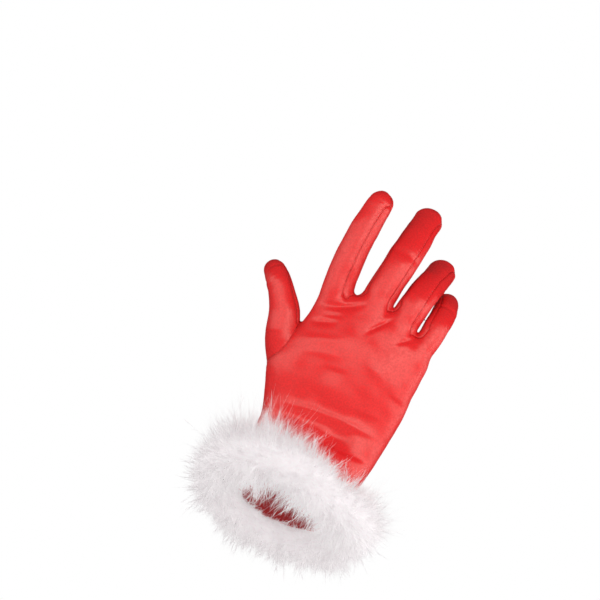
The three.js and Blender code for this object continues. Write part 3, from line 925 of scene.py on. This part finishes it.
def add_node(tree, kind, **inputs):
    """A new shader node with some of its inputs fed."""
    return fed(tree, tree.nodes.new(kind), inputs)


def group_node(tree, group, **inputs):
    """A node group placed in a material with its own values; returns its outputs."""
    node = tree.nodes.new("ShaderNodeGroup")
    node.node_tree = group
    return fed(tree, node, inputs).outputs


def attribute_node(tree, name):
    """A node that reads a point value of a piece; returns its outputs."""
    node = tree.nodes.new("ShaderNodeAttribute")
    node.attribute_name = name
    return node.outputs


def new_material(name):
    """An empty node material, and its node tree."""
    material = bpy.data.materials.new(name)
    material.use_nodes = True
    material.node_tree.nodes.clear()
    return material, material.node_tree


def math_node(tree, operation, *values):
    """A Math node with its inputs set, or linked from sockets; returns its output."""
    node = tree.nodes.new("ShaderNodeMath")
    node.operation = operation
    for socket, value in zip(node.inputs, values):
        feed(tree, socket, value)
    return node.outputs[0]


def range_node(tree, value, low, high, first, last, kind="SMOOTHSTEP"):
    """A Map Range node from low..high to first..last; returns its output."""
    node = add_node(tree, "ShaderNodeMapRange", Value=value)
    node.interpolation_type = kind
    for key, number in zip(("From Min", "From Max", "To Min", "To Max"), (low, high, first, last)):
        node.inputs[key].default_value = number
    return node.outputs["Result"]


def mix_node(tree, factor, first, second):
    """A Mix node for colours; returns its output."""
    node = tree.nodes.new("ShaderNodeMix")
    node.data_type = "RGBA"
    for key, value in (("Factor", factor), ("A", first), ("B", second)):
        if key != "Factor" and not isinstance(value, bpy.types.NodeSocket):
            value = (*value, 1)
        feed(tree, next(s for s in node.inputs if s.name == key and s.enabled), value)
    return next(s for s in node.outputs if s.name == "Result" and s.enabled)


def mix_shaders(tree, factor, first, second):
    """A Mix Shader node; returns its output."""
    node = add_node(tree, "ShaderNodeMixShader", Fac=factor)
    tree.links.new(first, node.inputs[1])
    tree.links.new(second, node.inputs[2])
    return node.outputs[0]


def ray_mix(tree, ray, others, shown):
    """Shows a shader to one kind of ray and another to all others; returns the mix."""
    path = tree.nodes.new("ShaderNodeLightPath")
    return mix_shaders(tree, path.outputs[ray], others, shown)


def new_group(name, inputs, outputs):
    """An empty node group with named number sockets; returns it, its inputs and its outputs."""
    group = bpy.data.node_groups.new(name, "ShaderNodeTree")
    for key in inputs:
        group.interface.new_socket(key, in_out="INPUT", socket_type="NodeSocketFloat")
    for key in outputs:
        group.interface.new_socket(key, in_out="OUTPUT", socket_type="NodeSocketFloat")
    return group, group.nodes.new("NodeGroupInput").outputs, group.nodes.new("NodeGroupOutput").inputs


@functools.lru_cache(maxsize=None)
def cloth_grain_group():
    """Woven cloth: the height of its fine threads with their slubs, and a mottle of tone. Thread
    Pitch and Slub Size are in metres."""
    group, given, sent = new_group("cloth grain", ("Thread Pitch", "Slub Size"), ("Height", "Mottle"))
    place = group.nodes.new("ShaderNodeTexCoord").outputs["Object"]
    stretched = add_node(group, "ShaderNodeMapping", Vector=place, Scale=(0.5, 0.8, 1.0)).outputs[0]
    fine = math_node(group, "DIVIDE", 1.0, given["Thread Pitch"])
    coarse = math_node(group, "DIVIDE", 1.0, given["Slub Size"])
    threads = add_node(group, "ShaderNodeTexNoise", Vector=stretched, Scale=fine, Detail=1.0)
    slubs = add_node(group, "ShaderNodeTexNoise", Vector=stretched, Scale=coarse, Detail=3.0)
    mottle = add_node(group, "ShaderNodeTexNoise", Vector=place, Scale=fine, Detail=2.0)
    height = math_node(group, "MULTIPLY_ADD", threads.outputs["Fac"], 0.7, slubs.outputs["Fac"])
    group.links.new(height, sent["Height"])
    group.links.new(mottle.outputs["Fac"], sent["Mottle"])
    return group


@functools.lru_cache(maxsize=None)
def seam_group():
    """A sewn seam, from the distance to it in millimetres: the height of its cloth, which rolls
    under at the seam, and a mask of its thread, in stitches."""
    group, given, sent = new_group("sewn seam", ("Distance", "Stitch Length"), ("Height", "Thread"))
    roll = range_node(group, given["Distance"], 0.0, 0.9, -0.32, 0.0)
    group.links.new(roll, sent["Height"])
    place = group.nodes.new("ShaderNodeTexCoord").outputs["Object"]
    along = add_node(group, "ShaderNodeVectorMath", Vector=place)
    along.operation = "DOT_PRODUCT"
    along.inputs[1].default_value = STITCH_WAY
    turns = math_node(group, "DIVIDE", along.outputs["Value"], given["Stitch Length"])
    wave = math_node(group, "SINE", math_node(group, "MULTIPLY", turns, 2 * math.pi))
    dash = range_node(group, wave, -0.7, 0.3, 0.35, 1.0)
    line = range_node(group, given["Distance"], 0.12, 0.55, 1.0, 0.0)
    group.links.new(math_node(group, "MULTIPLY", dash, line), sent["Thread"])
    return group


def cloth_bump(tree, grain, depth, *heights):
    """A Bump node for cloth: its grain at a depth in millimetres, with other heights added."""
    height = math_node(tree, "MULTIPLY", grain["Height"], depth)
    for more in heights:
        height = math_node(tree, "ADD", height, more)
    return add_node(tree, "ShaderNodeBump", Height=height, Distance=MM, Strength=1.0).outputs["Normal"]


def satin_settings():
    """The sizes and colours of the satin cloth."""
    return bpy.context.scene.glove_satin


@functools.lru_cache(maxsize=None)
def satin_material():
    """Glossy stretch satin: a deep red whose gloss spreads across its threads and is narrow along
    them, mottled by the weave, and darker in its stitched seams."""
    settings = satin_settings()
    material, tree = new_material("satin")
    pitch, slub, depth = SATIN_GRAIN
    grain = group_node(tree, cloth_grain_group(), Thread_Pitch=pitch, Slub_Size=slub)
    distance = attribute_node(tree, "seam_distance")["Fac"]
    seam = group_node(tree, seam_group(), Distance=distance, Stitch_Length=STITCH_LENGTH)
    face = np.array(settings.colour)
    dark, pale = SPECKLE_SHADES
    dull, sharp = settings.roughness + SPECKLE_ROUGHNESS, settings.roughness - SPECKLE_ROUGHNESS
    speckle = range_node(tree, grain["Mottle"], 0.36, 0.64, 0.0, 1.0, "LINEAR")
    colour = mix_node(tree, speckle, face * dark, face * pale)
    colour = mix_node(tree, seam["Thread"], colour, face * THREAD_SHADE)
    rough = range_node(tree, speckle, 0.0, 1.0, dull, sharp)
    shader = add_node(
        tree,
        "ShaderNodeBsdfPrincipled",
        Base_Color=colour,
        Roughness=rough,
        Specular_IOR_Level=settings.gloss,
        Specular_Tint=(*settings.gloss_colour, 1),
        Anisotropic=settings.sweep,
        Anisotropic_Rotation=0.25,
        Tangent=attribute_node(tree, "thread_way")["Vector"],
        Normal=cloth_bump(tree, grain, depth, seam["Height"]),
    )
    add_node(tree, "ShaderNodeOutputMaterial", Surface=shader.outputs[0])
    return material


@functools.lru_cache(maxsize=None)
def reverse_material():
    """The dull knitted side of the satin, inside the glove."""
    material, tree = new_material("satin_reverse")
    pitch, slub, depth = REVERSE_GRAIN
    grain = group_node(tree, cloth_grain_group(), Thread_Pitch=pitch, Slub_Size=slub)
    dull = np.array(satin_settings().reverse_colour)
    shader = add_node(
        tree,
        "ShaderNodeBsdfPrincipled",
        Base_Color=mix_node(tree, grain["Mottle"], dull, dull * 1.25),
        Roughness=0.85,
        Sheen_Weight=0.4,
        Normal=cloth_bump(tree, grain, depth),
    )
    add_node(tree, "ShaderNodeOutputMaterial", Surface=shader.outputs[0])
    return material


@functools.lru_cache(maxsize=None)
def down_material():
    """White down: matt, and so thin that it passes on a third of its light. Its barbs are unlike from
    plume to plume, and paler to their tips, as painted shade that darkens them towards their roots; it
    also glows in its own colour, as painted light that lifts its shade."""
    settings = bpy.context.scene.glove_trim
    material, tree = new_material("down")
    place = tree.nodes.new("ShaderNodeTexCoord").outputs["Object"]
    noise = add_node(tree, "ShaderNodeTexNoise", Vector=place, Scale=160.0, Detail=3.0)
    uneven = math_node(tree, "MULTIPLY_ADD", noise.outputs["Fac"], 0.5, -0.25)
    shade = math_node(tree, "ADD", attribute_node(tree, "tone")["Fac"], uneven)
    shade = range_node(tree, shade, 0.0, 1.0, 0.0, 1.0, "LINEAR")
    # The mix towards the darker colour is partly tone that differs at random, and partly painted shade
    # towards the barbs' roots and on the backing.
    colour = mix_node(tree, shade, settings.dark_tone_and_shade_colour, settings.colour)
    shader = add_node(
        tree,
        "ShaderNodeBsdfPrincipled",
        Base_Color=colour,
        Roughness=0.9,
        Specular_IOR_Level=0.1,
        # Painted light: the down glows in its own colour, lifting the shade in its mass.
        Emission_Color=colour,
        Emission_Strength=settings.painted_glow,
    )
    through = add_node(tree, "ShaderNodeBsdfTranslucent", Color=colour)
    down = mix_shaders(tree, DOWN_THROUGH, shader.outputs[0], through.outputs[0])
    add_node(tree, "ShaderNodeOutputMaterial", Surface=down)
    return material


def trim_frame(turn):
    """Points on the trim's ring at some angles, and the directions out of it, square to it up the
    hand, and ahead round it. The ring is an ellipse in the cuff's leaning plane, and sags out of
    it in one place, away from the fingers."""
    x, y, z, width, depth, lean, roll = TRIM
    across, back = section_frame(lean, roll)
    up = unit(np.cross(back, across))
    middle = np.array([x, y, z], float)
    middle = middle + width * np.cos(turn)[:, None] * across + depth * np.sin(turn)[:, None] * back
    middle = middle - SAG_DEPTH * sagging(turn)[:, None] * up
    out = unit(np.cos(turn)[:, None] / width * across + np.sin(turn)[:, None] / depth * back)
    return middle, out, np.broadcast_to(up, out.shape), np.cross(up, out)


def sagging(turn):
    """How far the trim sags at some angles, as a share of its greatest sag: one wave of a squared
    cosine."""
    off = (np.degrees(turn) - SAG_TURN + 180) % 360 - 180
    return np.cos(np.clip(off / SAG_REACH, -1, 1) * math.pi / 2) ** 2


def clear_of_glove(points):
    """Points moved out of the glove, along the way outwards, where they lie in it and not below
    its mouth."""
    distance, outwards, _ = hand_reading(points)
    above = np.clip(above_mouth(points) / 2 + 1, 0, 1)
    move = np.clip(CLEARANCE - distance, 0, LARGEST_MOVE) * above
    return points + outwards * move[:, None]


def eased(points):
    """Points of the down held back in front: past FRONT_EASE they near FRONT_REACH more and more
    slowly, as an exponential."""
    span = FRONT_EASE - FRONT_REACH
    past = np.maximum(FRONT_EASE - points[:, 1], 0)
    held = FRONT_EASE - span * (1 - np.exp(-past / span))
    return np.stack([points[:, 0], np.where(past > 0, held, points[:, 1]), points[:, 2]], 1)


def plume_lines(rng, count, short, long, stray, lowest):
    """The quills of the down: for each its root, direction, side, length, size against the rest of
    its layer, and the middle of its ring. Their roots are spread over the backing's tube from the
    lowest angle up, and each stands out from it, with some disorder. The size is a product of
    shares, each for one part of the ring, and the tufts are a sum of waves."""
    turn = rng.uniform(0, 2 * math.pi, count)
    lift = rng.uniform(lowest, HIGHEST_ANGLE, count)
    inside = np.clip((MOUTH_ANGLE - lift) / MOUTH_SPAN, 0, 1)
    above = np.clip(np.sin(np.radians(lift)), 0, 1)
    hanging = MOUTH_ANGLE + (lift - MOUTH_ANGLE) * MOUTH_LEAN
    lean = np.radians(np.clip(np.where(lift < MOUTH_ANGLE, hanging, lift), *LEAN_LIMITS))
    lean = lean + rng.normal(0, 0.5 * stray, count)
    lift = np.radians(lift)
    middle, out, up, ahead = trim_frame(turn)
    root = middle + ROOT_RADIUS * (out * np.cos(lift)[:, None] + up * np.sin(lift)[:, None])
    way = out * np.cos(lean)[:, None] + up * np.sin(lean)[:, None]
    way = unit(way + ahead * rng.normal(0, stray, count)[:, None])
    tufts = sum(rise * np.sin(n * turn + m * lift + start) for rise, n, m, start in TUFTS)
    front = np.clip(np.sin(turn) * 2, 0, 1)
    thumb_side = np.clip(0.1 - 1.2 * np.cos(turn), 0, 1)
    right_side = np.clip(2 * np.cos(turn) - 1, 0, 1)
    below = np.clip(-np.sin(lift), 0, 1) * (1 - inside)
    size = (1 + ABOVE_GROWTH * above + tufts) * (1 - MOUTH_LOSS * inside)
    size = size * (1 - SAG_LOSS * above * sagging(turn))
    size = size * (1 + front * (THUMB_SIDE_GROWTH * above * thumb_side + BELOW_GROWTH * below))
    size = size * (1 + RIGHT_GROWTH * above * right_side)
    length = (short + (long - short) * rng.random(count) ** SHORT_QUILLS) * size
    side = unit(np.cross(way, rng.normal(size=(count, 3))))
    return root, way, side, length, size, middle


def barb_points(rng, plumes, barbs, reach, segments):
    """The barbs of the quills, as points along each: a barb leaves its quill to one side, leans
    forward and curls. Point k of a barb is its foot plus its length times s in its own direction
    plus s squared in its curl's, where s runs from 0 to 1. Returns their points, the ring's middle
    for each, and their tone, which differs from plume to plume and from barb to barb."""
    root, way, side, length, size, middle = plumes
    count = len(root)
    at = rng.uniform(0.0, 1.0, (count, barbs)) ** BARB_CROWDING
    sign = np.where(rng.random((count, barbs)) < 0.5, -1.0, 1.0)
    droop = unit(rng.normal(size=(count, 3)))
    foot = root[:, None] + way[:, None] * (at * length[:, None])[..., None]
    foot = foot + droop[:, None] * (at**2 * length[:, None] * QUILL_DROOP)[..., None]
    spread = np.radians(rng.uniform(*BARB_ANGLES, (count, barbs)) * (1.1 - 0.5 * at))
    other = np.cross(way, side)
    roll = rng.normal(0, BARB_ROLL, (count, barbs))
    beside = side[:, None] * (sign * np.cos(roll))[..., None]
    beside = beside + other[:, None] * np.sin(roll)[..., None]
    own = way[:, None] * np.cos(spread)[..., None] + beside * np.sin(spread)[..., None]
    own = unit(own + droop[:, None] * (BARB_DROOP * at)[..., None])
    far = (reach * size)[:, None] * rng.uniform(*BARB_LENGTHS, (count, barbs))
    forward, loose = BARB_CURL
    curl = way[:, None] * forward + unit(rng.normal(size=(count, barbs, 3))) * loose
    s = np.linspace(0, 1, segments + 1)
    line = foot[..., None, :] + far[..., None, None] * (
        own[..., None, :] * s[:, None] + curl[..., None, :] * (s**2)[:, None]
    )
    plume_tone, barb_tone = BARB_TONES
    tone = rng.uniform(0, plume_tone, (count, 1)) + rng.uniform(0, barb_tone, (count, barbs))
    return line.reshape(-1, segments + 1, 3), np.repeat(middle, barbs, 0), tone.ravel()


def ribbons(rng, lines, middles, width):
    """Flat tapering ribbons along lines: two edges that close to a point, each ribbon turned to
    face away from its middle. Returns their points and triangles, each point's line, and its share
    of the way along it."""
    count, rows, _ = lines.shape
    along = unit(np.gradient(lines, axis=1))
    out = unit(lines[:, rows // 2] - middles)
    wide = unit(np.cross((out + RIBBON_TURN * rng.normal(size=out.shape))[:, None], along))
    s = np.linspace(0, 1, rows)[:-1]
    above = np.clip(out @ mouth_axis(), 0, 1)[:, None]
    half = 0.5 * width * (1 - s) ** RIBBON_TAPER * rng.uniform(*RIBBON_WIDTHS, (count, 1))
    half = half * (1 - ABOVE_THINNING * above)
    left = lines[:, :-1] - wide[:, :-1] * half[..., None]
    right = lines[:, :-1] + wide[:, :-1] * half[..., None]
    points = np.concatenate([left, right, lines[:, -1:]], 1)
    per = points.shape[1]
    n = rows - 1
    faces = []
    for k in range(n - 1):
        faces += [(k, k + 1, n + k + 1), (k, n + k + 1, n + k)]
    faces.append((n - 1, 2 * n, 2 * n - 1))
    faces = np.array(faces)[None] + per * np.arange(count)[:, None, None]
    shares = np.tile(np.concatenate([s, s, [1.0]]), count)
    return points.reshape(-1, 3), faces.reshape(-1, 3), np.repeat(np.arange(count), per), shares


def fluffy_normals(piece, points, middles, softness):
    """Shades strands like a soft mass: each point's normal leans to the way out of the ring."""
    own = np.zeros(len(points) * 3, np.float32)
    piece.data.vertices.foreach_get("normal", own)
    own = own.reshape(-1, 3)
    out = unit(points - middles)
    piece.data.normals_split_custom_set_from_vertices(unit(own * (1 - softness) + out * softness))


def backing_mesh():
    """The soft backing of the down: a tube round the ring, whose radius swells and sinks in
    lumps, a sum of waves over the two angles."""
    around, along = BACKING_AROUND, BACKING_ALONG
    turn = np.repeat(np.linspace(0, 2 * math.pi, along, endpoint=False), around)
    lift = np.tile(np.linspace(0, 2 * math.pi, around, endpoint=False), along)
    middle, out, up, _ = trim_frame(turn)
    radial = out * np.cos(lift)[:, None] + up * np.sin(lift)[:, None]
    lumps = sum(np.sin(n * turn + m * lift) for n, m in LUMPS)
    outer = np.clip(np.cos(lift) + 0.7, 0, 1)
    radius = BACKING_RADIUS + outer * (BACKING_SWELL + LUMP_HEIGHT * lumps)
    points = clear_of_glove(middle + radial * radius[:, None])
    i, j = np.divmod(np.arange(around * along), around)
    a = i * around + j
    b = i * around + (j + 1) % around
    c = (i + 1) % along * around + (j + 1) % around
    d = (i + 1) % along * around + j
    return points, np.concatenate([np.stack([a, b, c], 1), np.stack([a, c, d], 1)])


def make_backing():
    """Makes the soft backing under the down."""
    points, faces = backing_mesh()
    # The backing's low tone is painted shade deep inside the down.
    tone = np.full(len(points), BACKING_SHADE)
    backing = new_mesh("down_backing", points, faces, [("tone", tone)])
    dress(backing, "down", "down_trim", down_material())


def make_down(rng, name, settings, plumes, barbs, short, long, reach, width, segments, stray, lowest):
    """Makes one piece of a layer of the down, from the columns of DOWN_LAYERS."""
    count = int(plumes * settings.density) // 1
    quills = plume_lines(rng, count, short, long, stray, lowest)
    lines, middles, tones = barb_points(rng, quills, barbs, reach, segments)
    clear = in_chunks(clear_of_glove, lines.reshape(-1, 3))
    lines = eased(clear).reshape(lines.shape)
    points, faces, line_of, shares = ribbons(rng, lines, middles, width)
    barb_tone, root_shade = RIBBON_TONES
    # A barb's tone is its own, which differs at random, plus its share of the way along: painted shade
    # that darkens it towards its root.
    tone = tones[line_of] * barb_tone + shares * root_shade
    piece = new_mesh(name, points, faces, [("tone", tone)])
    fluffy_normals(piece, points, middles[line_of], settings.softness)
    dress(piece, "down", "down_trim", down_material())


class SatinSettings(bpy.types.PropertyGroup):
    """The satin cloth."""

    step: FloatProperty(
        name="Mesh step", description="Size of the cloth's mesh cells in mm", default=0.95
    )
    thickness: FloatProperty(
        name="Thickness", description="Thickness of the cloth in mm", default=0.8
    )
    roughness: FloatProperty(
        name="Roughness", description="Roughness of the satin's face", default=0.37, subtype="FACTOR"
    )
    gloss: FloatProperty(
        name="Gloss", description="Strength of the satin's reflection", default=0.6, subtype="FACTOR"
    )
    gloss_colour: FloatVectorProperty(
        name="Gloss colour",
        description="Colour of the satin's reflection",
        default=(1, 1, 0.88),
        subtype="COLOR",
    )
    sweep: FloatProperty(
        name="Sweep",
        description="How far the gloss spreads across the threads",
        default=0.9,
        subtype="FACTOR",
    )
    colour: FloatVectorProperty(
        name="Face",
        description="Colour of the satin's face",
        default=(0.71, 0.0135, 0.0155),
        subtype="COLOR",
    )
    reverse_colour: FloatVectorProperty(
        name="Reverse",
        description="Colour of the dull side",
        default=(0.42, 0.018, 0.02),
        subtype="COLOR",
    )


class TrimSettings(bpy.types.PropertyGroup):
    """The down trim."""

    density: FloatProperty(name="Density", description="Number of plumes, as a share", default=1.0)
    softness: FloatProperty(
        name="Softness",
        description="How far the down is lit as one soft mass",
        default=0.6,
        subtype="FACTOR",
    )
    colour: FloatVectorProperty(
        name="Down",
        description="Colour of the down's tips",
        default=(0.93, 0.905, 0.91),
        subtype="COLOR",
    )
    # The darker colour of the down: for barbs of darker tone, and as painted shade towards the roots and
    # on the backing.
    dark_tone_and_shade_colour: FloatVectorProperty(
        name="Depth",
        description="Colour of the down's depth",
        default=(0.73, 0.705, 0.715),
        subtype="COLOR",
    )
    # Painted light: the down's emission, which lifts the shade in its mass so that it reads white.
    painted_glow: FloatProperty(
        name="Glow",
        description="Light that the down sends on from its depth",
        default=0.36,
        subtype="FACTOR",
    )


class StageSettings(bpy.types.PropertyGroup):
    """The camera, lights and floor."""

    lens: FloatProperty(name="Lens", description="Focal length", default=300.0, unit="CAMERA")
    distance: FloatProperty(name="Distance", description="Camera to glove", default=3.1, unit="LENGTH")
    roll: FloatProperty(
        name="Roll", description="Roll of the camera", default=math.radians(22), subtype="ANGLE"
    )
    key: FloatProperty(name="Key light", description="Power of the key light", default=9.6, unit="POWER")
    sky: FloatProperty(name="Surround", description="Strength of the pale surround", default=0.44)
    front: FloatProperty(
        name="Front light", description="Power of the matt front light", default=12.5, unit="POWER"
    )
    sheen_sky: FloatProperty(
        name="Reflected surround", description="Strength of the surround in a gloss", default=0.04
    )
    floor_drop: FloatProperty(
        name="Floor", description="Depth of the floor below the glove", default=0.30, unit="LENGTH"
    )


class GLOVE_OT_stage(bpy.types.Operator):
    """Makes the camera, the lights and the floor"""

    bl_idname = "glove.stage"
    bl_label = "Stage"

    def execute(self, context):
        settings = context.scene.glove_stage
        self.make_camera(context, settings)
        self.make_lights(context, settings)
        self.make_world(context, settings)
        self.make_floor(context, settings)
        context.scene.view_settings.view_transform = "Standard"
        return {"FINISHED"}

    def make_camera(self, context, settings):
        """The camera, level with the middle of the picture and rolled about its line of sight."""
        data = bpy.data.cameras.new("camera")
        data.lens = settings.lens
        data.sensor_width = 36.0
        data.clip_start, data.clip_end = CLIP_LIMITS
        camera = bpy.data.objects.new("camera", data)
        context.scene.collection.objects.link(camera)
        roll = settings.roll
        right = Vector((math.cos(roll), 0, math.sin(roll)))
        up = Vector((-math.sin(roll), 0, math.cos(roll)))
        turned = Matrix((right, up, Vector((0, -1, 0)))).transposed()
        x, y, z = PICTURE_MIDDLE
        place = Vector((x, y - settings.distance, z))
        camera.matrix_world = Matrix.Translation(place) @ turned.to_4x4()
        context.scene.camera = camera

    def make_lights(self, context, settings):
        """The area lights, of which the front one doesn't show in a gloss."""
        aim = Vector(LIGHT_AIM)
        lights = [
            # name, position, power
            ("key", (0.75, -1.4, 0.6), settings.key),
            ("fill", (-0.9, -1.3, 0.44), settings.key * 0.55),
            ("side_right", (1.45, -0.1, 0.18), settings.key * 0.8),
            ("side_left", (-1.45, -0.3, 0.15), settings.key * 0.5),
            ("front", (0.6, -1.8, -0.3), settings.front),
        ]
        for name, position, power in lights:
            data = bpy.data.lights.new(name, "AREA")
            data.shape = "RECTANGLE"
            data.size, data.size_y = LIGHT_SIZE
            data.energy = power
            lamp = bpy.data.objects.new(name, data)
            context.scene.collection.objects.link(lamp)
            lamp.location = position
            lamp.rotation_mode = "QUATERNION"
            lamp.rotation_quaternion = (aim - Vector(position)).to_track_quat("-Z", "Y")
            lamp.visible_glossy = name != "front"

    def make_world(self, context, settings):
        """A pale surround: white behind the glove, softer as a light, and dim in a gloss."""
        world = bpy.data.worlds.new("surround")
        world.use_nodes = True
        tree = world.node_tree
        tree.nodes.clear()
        soft, dim, white = (
            add_node(tree, "ShaderNodeBackground", Color=(1, 1, 1, 1), Strength=strength).outputs[0]
            for strength in (settings.sky, settings.sheen_sky, 1.0)
        )
        shown = ray_mix(tree, "Is Glossy Ray", soft, dim)
        shown = ray_mix(tree, "Is Camera Ray", shown, white)
        add_node(tree, "ShaderNodeOutputWorld", Surface=shown)
        context.scene.world = world

    def make_floor(self, context, settings):
        """A wide plain floor of pale paper, which the camera sees as white as the surround."""
        height = CAD_BOX[0].z - settings.floor_drop
        ways = ((-1, -1), (1, -1), (1, 1), (-1, 1))
        corners = [(x * FLOOR_REACH, y * FLOOR_REACH, height) for x, y in ways]
        mesh = bpy.data.meshes.new("floor")
        mesh.from_pydata(corners, [], [(0, 1, 2, 3)])
        floor = bpy.data.objects.new("floor", mesh)
        context.scene.collection.objects.link(floor)
        material, tree = new_material("floor")
        pale = (0.85, 0.85, 0.85, 1)
        paper = add_node(tree, "ShaderNodeBsdfPrincipled", Base_Color=pale, Roughness=0.9)
        bright = add_node(tree, "ShaderNodeEmission", Color=(1, 1, 1, 1), Strength=1.0)
        shown = ray_mix(tree, "Is Camera Ray", paper.outputs[0], bright.outputs[0])
        add_node(tree, "ShaderNodeOutputMaterial", Surface=shown)
        mesh.materials.append(material)
        floor.visible_glossy = False


class GLOVE_OT_back_and_palm(bpy.types.Operator):
    """Makes the back and the palm, with the backs and fronts of the fingers"""

    bl_idname = "glove.back_and_palm"
    bl_label = "Back and palm"

    def execute(self, context):
        for name, side in (("back", 1), ("palm", -1)):
            sew_cloth(
                f"glove_{name}", f"{name}_shell", lambda table, side=side: inside_shell(table, side)
            )
        return {"FINISHED"}


class GLOVE_OT_thumb(bpy.types.Operator):
    """Makes the thumb piece"""

    bl_idname = "glove.thumb"
    bl_label = "Thumb"

    def execute(self, context):
        sew_cloth("glove_thumb", "thumb_shell", lambda table: table[:, THUMB])
        return {"FINISHED"}


class GLOVE_OT_fourchettes(bpy.types.Operator):
    """Makes the strips between the fingers"""

    bl_idname = "glove.fourchettes"
    bl_label = "Fourchettes"

    def execute(self, context):
        for column, (left, right, *_) in enumerate(FOURCHETTES, FIRST_STRIP):
            sew_cloth(
                f"glove_fourchette_{left}_{right}",
                f"fourchette_{left}_{right}",
                lambda table, column=column: table[:, column],
            )
        return {"FINISHED"}


class GLOVE_OT_down_trim(bpy.types.Operator):
    """Makes the down round the cuff"""

    bl_idname = "glove.down_trim"
    bl_label = "Down trim"

    def execute(self, context):
        make_backing()
        rng = np.random.default_rng(TRIM_SEED)
        layers = [layer for *layer, pieces in DOWN_LAYERS for _ in range(pieces)]
        for number, layer in enumerate(layers, 1):
            make_down(rng, f"down_{number}", context.scene.glove_trim, *layer)
        return {"FINISHED"}


class GLOVE_PT_panel(bpy.types.Panel):
    """Lists the glove's pieces"""

    bl_idname = "GLOVE_PT_panel"
    bl_label = "Satin Glove"
    bl_space_type = "VIEW_3D"
    bl_region_type = "UI"
    bl_category = "Glove"

    def draw(self, context):
        for settings in (context.scene.glove_stage, context.scene.glove_satin, context.scene.glove_trim):
            box = self.layout.box()
            for key in settings.bl_rna.properties.keys():
                if key not in ("rna_type", "name"):
                    box.prop(settings, key)
        for operator in OPERATORS:
            self.layout.operator(operator.bl_idname)


OPERATORS = (
    GLOVE_OT_stage,
    GLOVE_OT_back_and_palm,
    GLOVE_OT_thumb,
    GLOVE_OT_fourchettes,
    GLOVE_OT_down_trim,
)
CLASSES = (SatinSettings, TrimSettings, StageSettings, *OPERATORS, GLOVE_PT_panel)


def register():
    """Adds the add-on's classes and its settings."""
    for cls in CLASSES:
        bpy.utils.register_class(cls)
    bpy.types.Scene.glove_satin = PointerProperty(type=SatinSettings)
    bpy.types.Scene.glove_trim = PointerProperty(type=TrimSettings)
    bpy.types.Scene.glove_stage = PointerProperty(type=StageSettings)


def unregister():
    """Takes them out again."""
    for name in ("glove_satin", "glove_trim", "glove_stage"):
        delattr(bpy.types.Scene, name)
    for cls in reversed(CLASSES):
        bpy.utils.unregister_class(cls)


def main():
    """Registers the add-on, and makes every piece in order."""
    register()
    bpy.ops.glove.stage()
    bpy.ops.glove.back_and_palm()
    bpy.ops.glove.thumb()
    bpy.ops.glove.fourchettes()
    bpy.ops.glove.down_trim()


if __name__ == "__main__":
    main()
